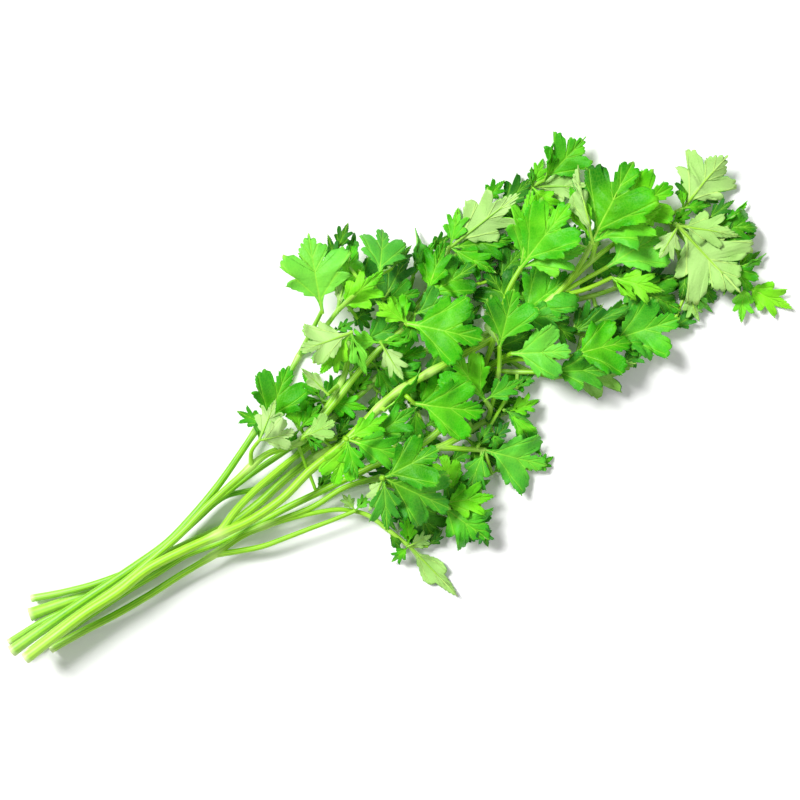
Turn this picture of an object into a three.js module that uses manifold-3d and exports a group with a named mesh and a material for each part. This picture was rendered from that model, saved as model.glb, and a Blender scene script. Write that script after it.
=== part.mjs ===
// A bunch of flat-leaf parsley lying on a table: eight leafy stems, cut ends at -X and leaves at +X.
//
// Each leafy stem is one solid. It is a bare stem with forking stalks, and every stalk ends in a few
// toothed leaflets. The stems lie one over another: each piece is laid on what is already below it.
// Millimetres, +Z up. The table is at z = 0 and the middle of the bunch is at x = y = 0.
import * as THREE from 'three';
import Module from 'manifold-3d';

const wasm = await Module();
wasm.setup();

// ---- Driving dimensions, in millimetres and degrees ----
const BLADE_THICKNESS = 0.7;
const CLEARANCE = 0.45;            // free height between two leafy stems
const STEM_SIDES = 6;              // sides of the bare stems
const STALK_SIDES = 4;             // sides of the stalks that fork from them
const STEM_STEP = 13;              // length of a straight piece of bare stem
const STALK_STEP = 9;              // length of a straight piece of stalk
const ROUTE_FINENESS = 8;          // points of a smooth route between two of its hand-chosen ones
const CUT_FLARE = 1.12;            // how much wider the stem is where it was cut
const STALK_OVERRUN = 1.0;         // how far a stalk runs on into its leaflets
const MAX_STALK_DIP = 0.5;         // steepest way down for a stalk, as rise over run
const RAISED_PITCH = 10;           // leaflets start this much above their own pitch
const MAX_DROOP = 20;              // and sink by this much below it, until they touch
const DROOP_STEP = 2;
const SIBLING_FREE = 0.35;         // leaflets of one fork may touch up to this part of their length
const OWN_FREE = 6;                // a stalk may touch its own stem's leaflets this near its root
const MIDDLE_X = -4.29;            // middle of the bunch's box, before it is moved to x = y = 0
const MIDDLE_Y = 0.933;

// ---- Height map of what lies on the table ----
const CELL = 1.0;
const MAP_COLUMNS = 360;
const MAP_ROWS = 200;
const SAMPLE_STEP = 0.9;

// ---- Leaflet outlines ----
// Half outlines as [along, across] parts of the length and the width, from the base to the tip at [1, 0].
const HUB = 0.45;                  // the blade's faces fan out from this point of the midrib
const OUTLINES = {
  cut: {
    width: 1.05,
    half: [[0, .02], [.2, .06], [.38, .4], [.47, .25], [.66, .48], [.77, .36], [.56, .08], [.78, .2],
      [.87, .12]],
  },
  fan: {
    width: .9,
    half: [[0, .03], [.2, .08], [.43, .46], [.5, .36], [.7, .5], [.82, .36], [.69, .15], [.9, .16]],
  },
  side: { width: .65, half: [[0, .03], [.2, .07], [.42, .46], [.51, .25], [.74, .44], [.65, .15]] },
  slim: { width: .42, half: [[0, .06], [.22, .12], [.52, .5], [.66, .21]] },
};
const TOP = 0;                     // the leaflet's upper face is up
const UNDER = 180;                 // its pale underside is up
const EDGE = 57;                   // it stands on its edge

// ---- Plan of the bunch from above, in the order in which things lie on one another ----
// stem number, radius at the root, radius at the end, route, leaflets as [outline, heading, length, face].
const PLAN = [
  [2, 2.1, 1.1, [[-144, -12], [-132, -13], [-117, -14], [-101, -13], [-86, -12], [-70, -12],
    [-58, -10], [-46, -6], [-28, -2], [-10, -1], [8, -1]], []],
  [1, 1.1, .8, [[-155, -18], [-141, -16], [-117, -15], [-97, -12], [-81, -7], [-65, -2], [-53, -4],
    [-38, 0], [-18, 11], [-1, 19], [17, 28], [32, 36]], []],
  [3, 1.2, .9, [[-141, -7], [-127, -10], [-110, -12], [-96, -11], [-83, -7], [-70, -3], [-55, 1],
    [-44, 3], [-28, 6], [-13, 9], [7, 16], [23, 16], [41, 13], [60, 14], [69, 13]], []],
  [3, .9, .7, [[69, 13], [83, 10], [95, 9]], [['side', -16, 19], ['cut', -49, 22], ['side', -85, 12]]],
  [3, .9, .7, [[60, 14], [72, 1], [82, -7]], [['fan', -6, 26], ['slim', -43, 16]]],
  [3, .8, .7, [[60, 14], [65, 8], [70, 1]], [['slim', 35, 15, UNDER], ['side', 17, 16], ['slim', 0, 23]]],
  [3, .8, .7, [[41, 13], [49, -2], [59, -11]], [['side', -14, 30, UNDER]]],
  [3, .8, .7, [[41, 13], [49, 13], [56, 14]], [['fan', 14, 24], ['side', -26, 18], ['fan', 100, 20]]],
  [1, .9, .7, [[32, 36], [55, 46], [74, 52], [79, 54]],
    [['side', -25, 23, UNDER], ['side', 42, 11], ['slim', 66, 7], ['side', -75, 15]]],
  [1, .7, .6, [[79, 54], [84, 54]], [['cut', 22, 21], ['slim', 54, 13, EDGE]]],
  [1, .8, .7, [[32, 36], [44, 46]],
    [['side', -17, 24], ['side', 13, 33, UNDER], ['side', 53, 15], ['side', -54, 20]]],
  [1, .8, .7, [[17, 28], [28, 42]], [['side', 138, 10, UNDER], ['side', 33, 15], ['slim', 58, 17, EDGE]]],
  [3, .8, .7, [[23, 16], [27, 18]], [['side', -103, 19], ['fan', 13, 16], ['side', 85, 15]]],
  [1, .8, .7, [[-1, 19], [3, 19]],
    [['fan', -9, 19], ['side', -84, 15], ['side', -42, 20], ['side', 126, 10]]],
  [1, .8, .7, [[-18, 11], [-19, 15]],
    [['side', 102, 13], ['side', 30, 12], ['slim', 160, 9], ['side', -34, 17]]],
  [2, .9, .7, [[-10, -1], [0, -17], [10, -34]], [['slim', -3, 14], ['fan', 81, 15], ['side', -104, 14]]],
  [2, .9, .7, [[-28, -2], [-18, -15], [-7, -24]],
    [['side', 7, 15, UNDER], ['side', -84, 15], ['side', -155, 14]]],
  [2, 1.1, .8, [[8, -1], [10, -1]], [['side', -117, 14], ['side', 19, 18]]],
  [4, 1.9, .9, [[-154, -21], [-134, -17], [-117, -14], [-100, -11], [-90, -9], [-71, -1], [-57, 7],
    [-43, 16], [-33, 23], [-20, 33]], []],
  [5, 1.4, 1.1, [[-147, -24], [-132, -22], [-115, -19], [-99, -17], [-83, -15], [-69, -16], [-55, -15],
    [-40, -14], [-28, -14], [-13, -13], [0, -14], [15, -11], [30, -3], [37, 2]], []],
  [6, 1.4, .9, [[-142, -26], [-130, -25], [-114, -24], [-97, -22], [-85, -20], [-76, -19], [-65, -17],
    [-53, -17], [-42, -18], [-30, -17], [-21, -16], [-11, -18]], []],
  [7, 1.5, .9, [[-148, -24], [-129, -19], [-112, -16], [-97, -12], [-84, -8], [-72, -3], [-65, -1],
    [-51, 4], [-41, 6], [-31, 5], [-20, 11], [-6, 22], [-1, 31]], []],
  [8, 1.8, 1.1, [[-149, -25], [-136, -22], [-123, -19], [-110, -17], [-98, -14], [-84, -13],
    [-70, -13], [-59, -13], [-47, -11], [-38, -8], [-28, -4], [-15, -1], [-2, 5], [7, 7], [23, 9],
    [39, 10], [55, 12], [70, 15]], []],
  [8, 1.0, .7, [[70, 15], [86, 21], [104, 25], [112, 26], [116, 26], [119, 22]], []],
  [8, .7, .6, [[119, 22], [123, 9], [129, 0], [133, -8]], [['side', -50, 20], ['side', -117, 14]]],
  [8, .7, .6, [[119, 22], [128, 9], [134, -2]],
    [['side', 14, 10], ['slim', 45, 8], ['slim', -2, 11, EDGE]]],
  [8, .7, .6, [[119, 22], [116, 8], [114, -2]], [['side', -94, 12, UNDER], ['slim', -62, 12]]],
  [8, .7, .6, [[119, 22], [125, 18], [130, 15]],
    [['side', 19, 9], ['slim', 8, 17, EDGE], ['fan', -24, 17]]],
  [8, .9, .7, [[70, 15], [81, 13], [91, 13]], [['side', -39, 19], ['slim', -68, 12]]],
  [8, .8, .7, [[116, 26], [121, 25], [124, 25]],
    [['side', -18, 10], ['cut', 27, 25, UNDER], ['slim', 72, 8]]],
  [8, .9, .7, [[70, 15], [79, 16], [91, 17]], [['fan', 7, 25]]],
  [8, .7, .7, [[119, 22], [119, 20]],
    [['side', -145, 15, UNDER], ['cut', -70, 32, UNDER], ['side', -32, 23, UNDER]]],
  [8, .8, .7, [[86, 21], [94, 29], [100, 32]], [['fan', 3, 23], ['side', 92, 18]]],
  [8, 1.0, .8, [[70, 15], [80, 20], [89, 27]],
    [['side', 3, 28], ['fan', 40, 31], ['slim', 89, 21], ['slim', 80, 27, UNDER + EDGE]]],
  [5, .9, .7, [[37, 2], [42, -1], [57, -8]], [['side', -22, 25]]],
  [5, .9, .7, [[37, 2], [45, 2], [53, -2], [66, -6]], [['fan', -10, 23]]],
  [5, .9, .8, [[37, 2], [44, 3], [48, 3]], [['fan', -22, 21]]],
  [5, 1.0, .8, [[37, 2], [48, 14], [57, 25], [63, 29]],
    [['side', -9, 24], ['side', 59, 28], ['fan', 28, 28]]],
  [5, 1.3, .9, [[0, -14], [12, -17], [22, -16], [31, -15], [39, -15]],
    [['side', -5, 12], ['slim', -76, 20]]],
  [5, .8, .7, [[31, -15], [31, -18], [31, -19]], [['side', -89, 10]]],
  [5, 1.1, .8, [[12, -17], [20, -21], [26, -24]], [['fan', -38, 23], ['side', -136, 17]]],
  [5, .8, .7, [[31, -15], [36, -9], [42, 0], [45, 7]], [['slim', 88, 14, UNDER], ['fan', 53, 21]]],
  [5, .8, .7, [[31, -15], [34, -11], [33, -8]], [['fan', 102, 20], ['side', 5, 15]]],
  [7, 1.3, .9, [[-31, 5], [-18, 11], [-3, 19], [9, 24], [18, 26]], []],
  [7, .8, .7, [[18, 26], [23, 30], [29, 33]], [['fan', 10, 21], ['side', 48, 22]]],
  [7, .9, .8, [[18, 26], [19, 27]], [['fan', 97, 12], ['fan', -36, 27], ['side', 120, 14]]],
  [7, .8, .7, [[9, 24], [8, 25]], [['side', -83, 16, UNDER], ['slim', -20, 11], ['side', 150, 13]]],
  [8, .8, .7, [[-2, 5], [0, 3]], [['slim', 17, 19, EDGE]]],
  [8, .8, .7, [[7, 7], [10, 1]], [['fan', -31, 25]]],
  [4, .9, .7, [[-20, 33], [-9, 37], [-1, 41]],
    [['slim', 54, 29], ['side', 16, 22], ['slim', 53, 20, UNDER]]],
  [4, .8, .7, [[-1, 41], [9, 44], [17, 46]], [['fan', 61, 19]]],
  [4, .9, .7, [[-20, 33], [-13, 38], [-6, 43]], [['cut', 76, 27]]],
  [7, .9, .8, [[-1, 31], [0, 32]], [['side', -151, 20], ['slim', -95, 16], ['fan', 176, 19, UNDER]]],
  [7, .7, .6, [[-11, 17], [-16, 16]], [['slim', 110, 13, UNDER]]],
  [4, .8, .7, [[-33, 23], [-31, 16], [-30, 9]], [['fan', 77, 12], ['side', 25, 12]]],
  [4, .9, .8, [[-43, 16], [-40, 15]], [['side', 131, 12], ['fan', 44, 23]]],
  [8, 1.4, .9, [[-70, -12], [-60, -7], [-46, -2], [-30, 2], [-22, 2], [-17, 0]], []],
  [7, .8, .6, [[-51, 4], [-48, 9], [-44, 11]],
    [['slim', 68, 9], ['side', 43, 16, UNDER], ['fan', -11, 13, UNDER]]],
  [7, .8, .7, [[-31, 5], [-29, 6]], [['side', -58, 8], ['fan', 0, 12, UNDER]]],
  [6, .9, .7, [[-11, -18], [-2, -27], [4, -35]], [['cut', -60, 22], ['side', -15, 20]]],
  [6, .9, .7, [[-55, -17], [-42, -19], [-30, -22], [-22, -27], [-18, -33], [-12, -44]],
    [['side', 71, 12], ['side', -161, 9], ['side', 1, 10, UNDER], ['slim', -70, 25, UNDER]]],
  [6, 1.1, .7, [[-76, -18], [-60, -23], [-45, -24], [-28, -25], [-24, -25]],
    [['side', 104, 8, UNDER], ['side', 25, 8]]],
  [8, .8, .7, [[-17, 0], [-9, -4]], [['side', 10, 20]]],
  [8, .9, .8, [[-17, 0], [-16, -1]],
    [['fan', -130, 17], ['side', -101, 15], ['side', 8, 17], ['side', -41, 23]]],
  [6, 1.0, .8, [[-11, -18], [-10, -18]],
    [['side', -137, 14, UNDER], ['fan', -50, 27], ['side', -110, 19], ['fan', 3, 22]]],
];

const GREENS = ['#3f9a1e', '#55a52c', '#4aa329', '#52b41f', '#5cb82e', '#58ad33', '#63bf2c', '#66c232'];
const LEAF_ROUGHNESS = 0.5;

// ---- Small sums ----
const RAD = Math.PI / 180;

// The same draw, between -1 and 1, each time for a number and a use.
function draw(number, use) {
  const wave = Math.sin(number * 127.1 + use * 311.7) * 43758.5453;
  return 2 * (wave - Math.floor(wave)) - 1;
}

// ---- Leaflets ----

// Size, tilt and curl of one leaflet, from its row in the plan and its number.
function leafletShape([outline, heading, length, face = TOP], number) {
  const onEdge = face % 180 !== 0;
  return {
    number,
    outline: OUTLINES[outline].half,
    heading: heading * RAD,
    length,
    width: length * OUTLINES[outline].width * (1 + 0.08 * draw(number, 1)),
    pitch: 2 + 6 * draw(number, 2),
    roll: (face + (onEdge ? 8 : 14) * draw(number, 3)) * RAD,
    skew: 0.10 * draw(number, 4),
    fold: 0.16 + 0.10 * draw(number, 5),
    arch: 0.04 + 0.03 * draw(number, 6),
    droop: 0.07 + 0.06 * draw(number, 7),
    ripple: 0.10 + 0.06 * draw(number, 8),
    phase: 3 * draw(number, 9),
  };
}

// A point of the blade's middle surface, before the leaflet is turned: along its length, across, and up.
function bladePoint(leaf, along, across) {
  const side = across * (1 + leaf.skew * Math.sign(across));
  const lift = leaf.arch * 4 * along * (1 - along) - leaf.droop * along * along
    + leaf.fold * Math.abs(across) + leaf.ripple * Math.abs(across) * Math.sin(14 * along + leaf.phase);
  return [along * leaf.length, side * leaf.width, lift * leaf.length];
}

// The closed outline, from the base along the left side to the tip and back. Teeth differ in reach.
function outlinePoints(leaf) {
  const reach = (point, use) => {
    const scale = point[0] < 0.3 ? 1 : 1 + 0.07 * draw(leaf.number, use);
    return [HUB + (point[0] - HUB) * scale, point[1] * scale];
  };
  const left = leaf.outline.map((point, i) => reach(point, 20 + i));
  const right = leaf.outline.map((point, i) => reach([point[0], -point[1]], 40 + i));
  return [...left, [1, 0], ...right.reverse()];
}

// Turn and place a point of a leaflet: roll about its length, then pitch, then heading.
function turned(leaf, pitch, [x, y, z]) {
  const y1 = y * Math.cos(leaf.roll) - z * Math.sin(leaf.roll);
  const z1 = y * Math.sin(leaf.roll) + z * Math.cos(leaf.roll);
  const tilt = pitch * RAD;
  const x2 = x * Math.cos(tilt) - z1 * Math.sin(tilt);
  const z2 = x * Math.sin(tilt) + z1 * Math.cos(tilt);
  return [
    x2 * Math.cos(leaf.heading) - y1 * Math.sin(leaf.heading),
    x2 * Math.sin(leaf.heading) + y1 * Math.cos(leaf.heading),
    z2,
  ];
}

// Closely spaced points of the blade's flat facets, each with its part of the length.
function bladeSamples(leaf) {
  const rim = outlinePoints(leaf);
  const hub = bladePoint(leaf, HUB, 0);
  const samples = [];
  rim.forEach((start, i) => {
    const end = rim[(i + 1) % rim.length];
    const a = bladePoint(leaf, ...start);
    const b = bladePoint(leaf, ...end);
    const steps = Math.ceil(Math.max(span(hub, a), span(hub, b), span(a, b)) / SAMPLE_STEP);
    for (let j = 0; j <= steps; j += 1) {
      for (let k = 0; k <= steps - j; k += 1) {
        const s = j / steps;
        const t = k / steps;
        const point = hub.map((value, axis) => value + s * (a[axis] - value) + t * (b[axis] - value));
        samples.push({ point, along: HUB + s * (start[0] - HUB) + t * (end[0] - HUB) });
      }
    }
  });
  return samples;
}

function span(a, b) {
  return Math.hypot(a[0] - b[0], a[1] - b[1], a[2] - b[2]);
}

// The blade as a closed solid: the same fan twice, half a thickness either side of the middle surface.
function bladeSolid(leaf, base, pitch) {
  const rim = outlinePoints(leaf);
  const middle = [[HUB, 0], ...rim].map((point) => bladePoint(leaf, ...point));
  const points = [];
  for (const half of [BLADE_THICKNESS / 2, -BLADE_THICKNESS / 2]) {
    for (const [x, y, z] of middle) {
      const [dx, dy, dz] = turned(leaf, pitch, [x, y, z + half]);
      points.push(base[0] + dx, base[1] + dy, base[2] + dz);
    }
  }
  const under = middle.length;
  const faces = [];
  rim.forEach((_, i) => {
    const a = 1 + i;
    const b = 1 + (i + 1) % rim.length;
    faces.push(0, b, a);
    faces.push(under, under + a, under + b);
    faces.push(a, b, under + b);
    faces.push(a, under + b, under + a);
  });
  return solid(points, faces);
}

// ---- Stems and stalks ----

// A smooth plan curve through the hand-chosen points, as closely spaced points.
function smoothRoute(points) {
  const last = points.length - 1;
  const route = [];
  for (let i = 0; i < last; i += 1) {
    const [b, c] = [points[i], points[i + 1]];
    const [a, d] = [points[Math.max(i - 1, 0)], points[Math.min(i + 2, last)]];
    for (let j = 0; j < ROUTE_FINENESS; j += 1) {
      const t = j / ROUTE_FINENESS;
      route.push([0, 1].map((axis) => 0.5 * (2 * b[axis] + (c[axis] - a[axis]) * t
        + (2 * a[axis] - 5 * b[axis] + 4 * c[axis] - d[axis]) * t * t
        + (3 * b[axis] - a[axis] - 3 * c[axis] + d[axis]) * t * t * t)));
    }
  }
  route.push([points[last][0], points[last][1]]);
  return route;
}

// Distances along a plan route, from its root to each of its points.
function runningLength(route) {
  const sums = [0];
  for (let i = 1; i < route.length; i += 1) {
    sums.push(sums[i - 1] + Math.hypot(route[i][0] - route[i - 1][0], route[i][1] - route[i - 1][1]));
  }
  return sums;
}

// The smooth route, cut in equal straight pieces of about the given length.
function planRoute(points, step) {
  const fine = smoothRoute(points);
  const distances = runningLength(fine);
  const pieceCount = Math.max(2, Math.round(distances.at(-1) / step));
  const corners = [];
  let i = 0;
  for (let piece = 0; piece <= pieceCount; piece += 1) {
    const at = distances.at(-1) * piece / pieceCount;
    while (i < fine.length - 2 && distances[i + 1] < at) {
      i += 1;
    }
    const part = (at - distances[i]) / (distances[i + 1] - distances[i]);
    corners.push([0, 1].map((axis) => fine[i][axis] + (fine[i + 1][axis] - fine[i][axis]) * part));
  }
  return corners;
}

// Heights of a string pulled tight over the bounds, with both of its ends on their own bounds.
function tautHeights(distances, bounds) {
  const hull = [0];
  for (let i = 1; i < bounds.length; i += 1) {
    while (hull.length > 1) {
      const [b, a] = [hull.at(-1), hull.at(-2)];
      const slopeAB = (bounds[b] - bounds[a]) / (distances[b] - distances[a]);
      const slopeAI = (bounds[i] - bounds[a]) / (distances[i] - distances[a]);
      if (slopeAB > slopeAI) {
        break;
      }
      hull.pop();
    }
    hull.push(i);
  }
  return distances.map((at, i) => {
    const right = Math.max(1, hull.findIndex((corner) => corner >= i));
    const [a, b] = [hull[right - 1], hull[right]];
    const part = (at - distances[a]) / (distances[b] - distances[a]);
    return bounds[a] + part * (bounds[b] - bounds[a]);
  });
}

// A tapered closed tube of rings round the route, with one flat side down and nothing below the table.
function tubeSolid(centres, radii, sides) {
  const points = [];
  const up = new THREE.Vector3(0, 0, 1);
  centres.forEach((centre, i) => {
    const ahead = new THREE.Vector3(...centres[Math.min(i + 1, centres.length - 1)]);
    const behind = new THREE.Vector3(...centres[Math.max(i - 1, 0)]);
    const along = ahead.sub(behind).normalize();
    const across = new THREE.Vector3().crossVectors(up, along).normalize();
    const above = sides === STEM_SIDES ? up : new THREE.Vector3().crossVectors(along, across);
    for (let side = 0; side < sides; side += 1) {
      const angle = -Math.PI / 2 + (side + 0.5) * 2 * Math.PI / sides;
      const point = new THREE.Vector3(...centre)
        .addScaledVector(across, radii[i] * Math.cos(angle))
        .addScaledVector(above, radii[i] * Math.sin(angle));
      points.push(point.x, point.y, Math.max(point.z, 0));
    }
  });
  const faces = [];
  const last = (centres.length - 1) * sides;
  for (let side = 0; side < sides; side += 1) {
    const next = (side + 1) % sides;
    for (let ring = 0; ring < last; ring += sides) {
      faces.push(ring + side, ring + next, ring + sides + next);
      faces.push(ring + side, ring + sides + next, ring + sides + side);
    }
  }
  for (let side = 1; side < sides - 1; side += 1) {
    faces.push(0, side + 1, side);
    faces.push(last, last + side, last + side + 1);
  }
  return solid(points, faces);
}

// ---- Laying one thing on another ----
const cells = MAP_COLUMNS * MAP_ROWS;
const allTops = new Float64Array(cells).fill(-CLEARANCE);  // everything, and the table
const leafTops = {};               // the leaflets of each leafy stem, by its number
const centrelines = {};            // places along its stem and stalks, with their radius

function column(x) {
  return Math.floor(x / CELL) + MAP_COLUMNS / 2;
}

function row(y) {
  return Math.floor(y / CELL) + MAP_ROWS / 2;
}

// The highest value of a map within a square of cells round a place.
function highest(map, x, y, cellsRound) {
  let top = -CLEARANCE;
  for (let i = column(x) - cellsRound; i <= column(x) + cellsRound; i += 1) {
    for (let j = row(y) - cellsRound; j <= row(y) + cellsRound; j += 1) {
      top = Math.max(top, map[i * MAP_ROWS + j]);
    }
  }
  return top;
}

// The lowest height for a round stalk at a place: over the leaflets and stalks of the other leafy stems.
function heightOverOthers(stem, x, y, radius) {
  let bound = 0;
  for (const other of Object.keys(leafTops).filter((number) => Number(number) !== stem)) {
    const top = highest(leafTops[other], x, y, Math.ceil(radius / CELL) + 1);
    if (top > -CLEARANCE) {
      bound = Math.max(bound, top + CLEARANCE + radius);
    }
    for (const [otherX, otherY, otherZ, otherRadius] of centrelines[other]) {
      const reach = radius + otherRadius + CLEARANCE;
      const away = Math.hypot(otherX - x, otherY - y);
      if (away < reach) {
        bound = Math.max(bound, otherZ + Math.sqrt(reach * reach - away * away));
      }
    }
  }
  return bound;
}

function raise(maps, x, y, cellsRound, top) {
  for (let i = column(x) - cellsRound; i <= column(x) + cellsRound; i += 1) {
    for (let j = row(y) - cellsRound; j <= row(y) + cellsRound; j += 1) {
      for (const map of maps) {
        map[i * MAP_ROWS + j] = Math.max(map[i * MAP_ROWS + j], top);
      }
    }
  }
}

// How far a leaflet on its base must rise to lie clear of what is below it.
function riseNeeded(leaf, samples, base, pitch, map, fromPart) {
  let rise = -Infinity;
  for (const { point, along } of samples) {
    if (along >= fromPart) {
      const [dx, dy, dz] = turned(leaf, pitch, point);
      const below = highest(map, base[0] + dx, base[1] + dy, 1) + CLEARANCE;
      rise = Math.max(rise, below - (base[2] + dz - BLADE_THICKNESS / 2));
    }
  }
  return rise;
}

// The lowest pitch at which a leaflet clears what was there before, and if it can its fork's leaflets.
function restingPitch(leaf, samples, base, mapBefore) {
  const pitches = [];
  for (let droop = -RAISED_PITCH; droop <= MAX_DROOP; droop += DROOP_STEP) {
    const pitch = leaf.pitch - droop;
    if (riseNeeded(leaf, samples, base, pitch, mapBefore, 0) > 1e-6) {
      break;
    }
    pitches.push(pitch);
  }
  const clearOfSiblings = pitches.filter(
    (pitch) => riseNeeded(leaf, samples, base, pitch, allTops, SIBLING_FREE) <= 1e-6);
  return clearOfSiblings.at(-1) ?? pitches.at(-1) ?? leaf.pitch + RAISED_PITCH;
}

// Lowest heights for the corners of a route: clear of the other leafy stems all along both straight pieces.
function routeBounds(stem, route, radii, rootHeight) {
  const bounds = route.map((_, i) => radii[i] * Math.cos(Math.PI / STEM_SIDES));
  let distance = 0;
  for (let i = 0; i + 1 < route.length; i += 1) {
    const length = Math.hypot(route[i + 1][0] - route[i][0], route[i + 1][1] - route[i][1]);
    const steps = Math.ceil(length);
    for (let j = 0; j <= steps; j += 1) {
      const x = route[i][0] + (route[i + 1][0] - route[i][0]) * j / steps;
      const y = route[i][1] + (route[i + 1][1] - route[i][1]) * j / steps;
      let bound = heightOverOthers(stem, x, y, radii[i]);
      if (rootHeight !== null && distance + length * j / steps > OWN_FREE) {
        const own = highest(leafTops[stem], x, y, Math.ceil(radii[i] / CELL) + 1);
        bound = Math.max(bound, own > -CLEARANCE ? own + CLEARANCE + radii[i] : 0);
      }
      bounds[i] = Math.max(bounds[i], bound);
      bounds[i + 1] = Math.max(bounds[i + 1], bound);
    }
    distance += length;
  }
  if (rootHeight !== null) {
    bounds[0] = rootHeight;
  }
  return bounds;
}

// ---- Solids ----
function solid(points, faces) {
  const mesh = new wasm.Mesh({
    numProp: 3,
    vertProperties: new Float32Array(points),
    triVerts: new Uint32Array(faces),
  });
  return new wasm.Manifold(mesh);
}

// One body of all the pieces, with sealed hollows filled and loose scraps dropped.
function fused(solids) {
  const whole = solids.reduce((body, piece) => body.add(piece));
  return whole.decompose().reduce((best, body) => (body.volume() > best.volume() ? body : best));
}

function geometryOf(body) {
  const { vertProperties, triVerts } = body.getMesh();
  const geometry = new THREE.BufferGeometry();
  geometry.setAttribute('position', new THREE.BufferAttribute(vertProperties, 3));
  geometry.setIndex(new THREE.BufferAttribute(triVerts, 1));
  return geometry;
}

// ---- The bunch ----
const pieces = {}; // solids of each leafy stem

// The place on a leafy stem, so far, that is nearest in plan to where a stalk forks from it.
function nearestPlace(stem, [x, y]) {
  if (!centrelines[stem]) {
    return null;
  }
  const away = (place) => Math.hypot(place[0] - x, place[1] - y);
  return centrelines[stem].reduce((best, place) => (away(place) < away(best) ? place : best));
}

function growShoot([stem, rootRadius, endRadius, points, leaflets], firstNumber) {
  const root = nearestPlace(stem, points[0]);
  const isStem = root === null;
  const rootHeight = isStem ? null : root[2];
  const route = isStem ? planRoute(points, STEM_STEP) : planRoute([root, ...points.slice(1)], STALK_STEP);
  const distances = runningLength(route);
  const length = distances.at(-1);
  const radii = distances.map((at) => rootRadius + (endRadius - rootRadius) * at / length);
  const bounds = routeBounds(stem, route, radii, rootHeight);

  const leaves = leaflets.map((leaflet, i) => leafletShape(leaflet, firstNumber + i));
  const samples = leaves.map(bladeSamples);
  const fork = route.at(-1);
  let forkHeight = bounds.at(-1);
  if (!isStem) {
    forkHeight = Math.max(forkHeight, rootHeight - MAX_STALK_DIP * length);
  }
  leaves.forEach((leaf, i) => {
    const rise = riseNeeded(leaf, samples[i], [...fork, 0], leaf.pitch + RAISED_PITCH, allTops, 0);
    forkHeight = Math.max(forkHeight, rise);
  });
  bounds[bounds.length - 1] = forkHeight;
  const heights = tautHeights(distances, bounds);
  const centres = route.map(([x, y], i) => [x, y, heights[i]]);

  leafTops[stem] ??= new Float64Array(cells).fill(-CLEARANCE);
  pieces[stem] ??= [];
  centrelines[stem] ??= [];

  const before = allTops.slice();
  leaves.forEach((leaf, i) => {
    const base = centres.at(-1);
    const pitch = restingPitch(leaf, samples[i], base, before);
    pieces[stem].push(bladeSolid(leaf, base, pitch));
    for (const { point } of samples[i]) {
      const [dx, dy, dz] = turned(leaf, pitch, point);
      const top = base[2] + dz + BLADE_THICKNESS / 2;
      raise([allTops, leafTops[stem]], base[0] + dx, base[1] + dy, 0, top);
    }
  });

  const ends = tubeEnds(centres, radii, isStem, leaves.length > 0);
  pieces[stem].push(tubeSolid(ends.centres, ends.radii, isStem ? STEM_SIDES : STALK_SIDES));
  for (let i = 0; i + 1 < centres.length; i += 1) {
    const steps = Math.ceil(distances[i + 1] - distances[i]);
    for (let j = 0; j <= steps; j += 1) {
      const place = centres[i].map((value, axis) => value + (centres[i + 1][axis] - value) * j / steps);
      centrelines[stem].push([...place, radii[i]]);
      raise([allTops], place[0], place[1], Math.ceil(radii[i] / CELL), place[2] + radii[i]);
    }
  }
}

// The flare of a cut end, and the stalk's last bit inside its leaflets.
function tubeEnds(centres, radii, isStem, hasLeaves) {
  const ends = { centres: [...centres], radii: [...radii] };
  if (isStem) {
    ends.radii[0] *= CUT_FLARE;
    ends.centres[0] = [centres[0][0], centres[0][1], centres[0][2] * CUT_FLARE];
  }
  if (hasLeaves) {
    const [end, before] = [centres.at(-1), centres.at(-2)];
    const length = span(end, before);
    ends.centres.push(end.map((value, axis) => value + (value - before[axis]) * STALK_OVERRUN / length));
    ends.radii.push(radii.at(-1));
  }
  return ends;
}

const bunch = new THREE.Group();
bunch.name = 'parsley_bunch';
let leafletCount = 0;
for (const shoot of PLAN) {
  growShoot(shoot, leafletCount);
  leafletCount += shoot[4].length;
}
for (const [stem, parts] of Object.entries(pieces)) {
  const material = new THREE.MeshStandardMaterial({ color: GREENS[stem - 1], roughness: LEAF_ROUGHNESS });
  const leafyStem = new THREE.Mesh(geometryOf(fused(parts)), material);
  leafyStem.name = `leafy_stem_${stem}`;
  bunch.add(leafyStem);
}
bunch.position.set(-MIDDLE_X, -MIDDLE_Y, 0);

export default bunch;
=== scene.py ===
"""A bunch of flat-leaf parsley lying on a pale floor, dressed over its eight leafy stems.

Each leafy stem of the model is replaced by two finer pieces that keep its form: its ribbed stem and stalks,
and its leaflets with toothed edges and veins. The leaflets and stalks find their heights by the same rule as
the model: each one is laid on what is already below it. The plan is in millimetres, the pieces in metres.
"""
import math
from collections import namedtuple
from functools import partialmethod

import bpy
import numpy as np
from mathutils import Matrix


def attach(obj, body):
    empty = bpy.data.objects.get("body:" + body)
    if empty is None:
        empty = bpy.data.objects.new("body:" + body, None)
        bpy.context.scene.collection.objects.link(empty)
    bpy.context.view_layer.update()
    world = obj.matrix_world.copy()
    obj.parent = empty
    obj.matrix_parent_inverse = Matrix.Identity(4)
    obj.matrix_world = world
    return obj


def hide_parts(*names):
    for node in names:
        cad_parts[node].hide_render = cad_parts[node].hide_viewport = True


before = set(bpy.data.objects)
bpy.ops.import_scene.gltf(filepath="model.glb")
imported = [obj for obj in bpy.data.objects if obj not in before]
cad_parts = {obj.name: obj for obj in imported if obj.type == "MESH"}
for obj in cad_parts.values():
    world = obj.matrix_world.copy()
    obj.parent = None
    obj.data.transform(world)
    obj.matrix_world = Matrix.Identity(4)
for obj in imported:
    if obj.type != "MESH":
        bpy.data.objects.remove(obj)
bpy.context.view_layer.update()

MM = 0.001

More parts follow.
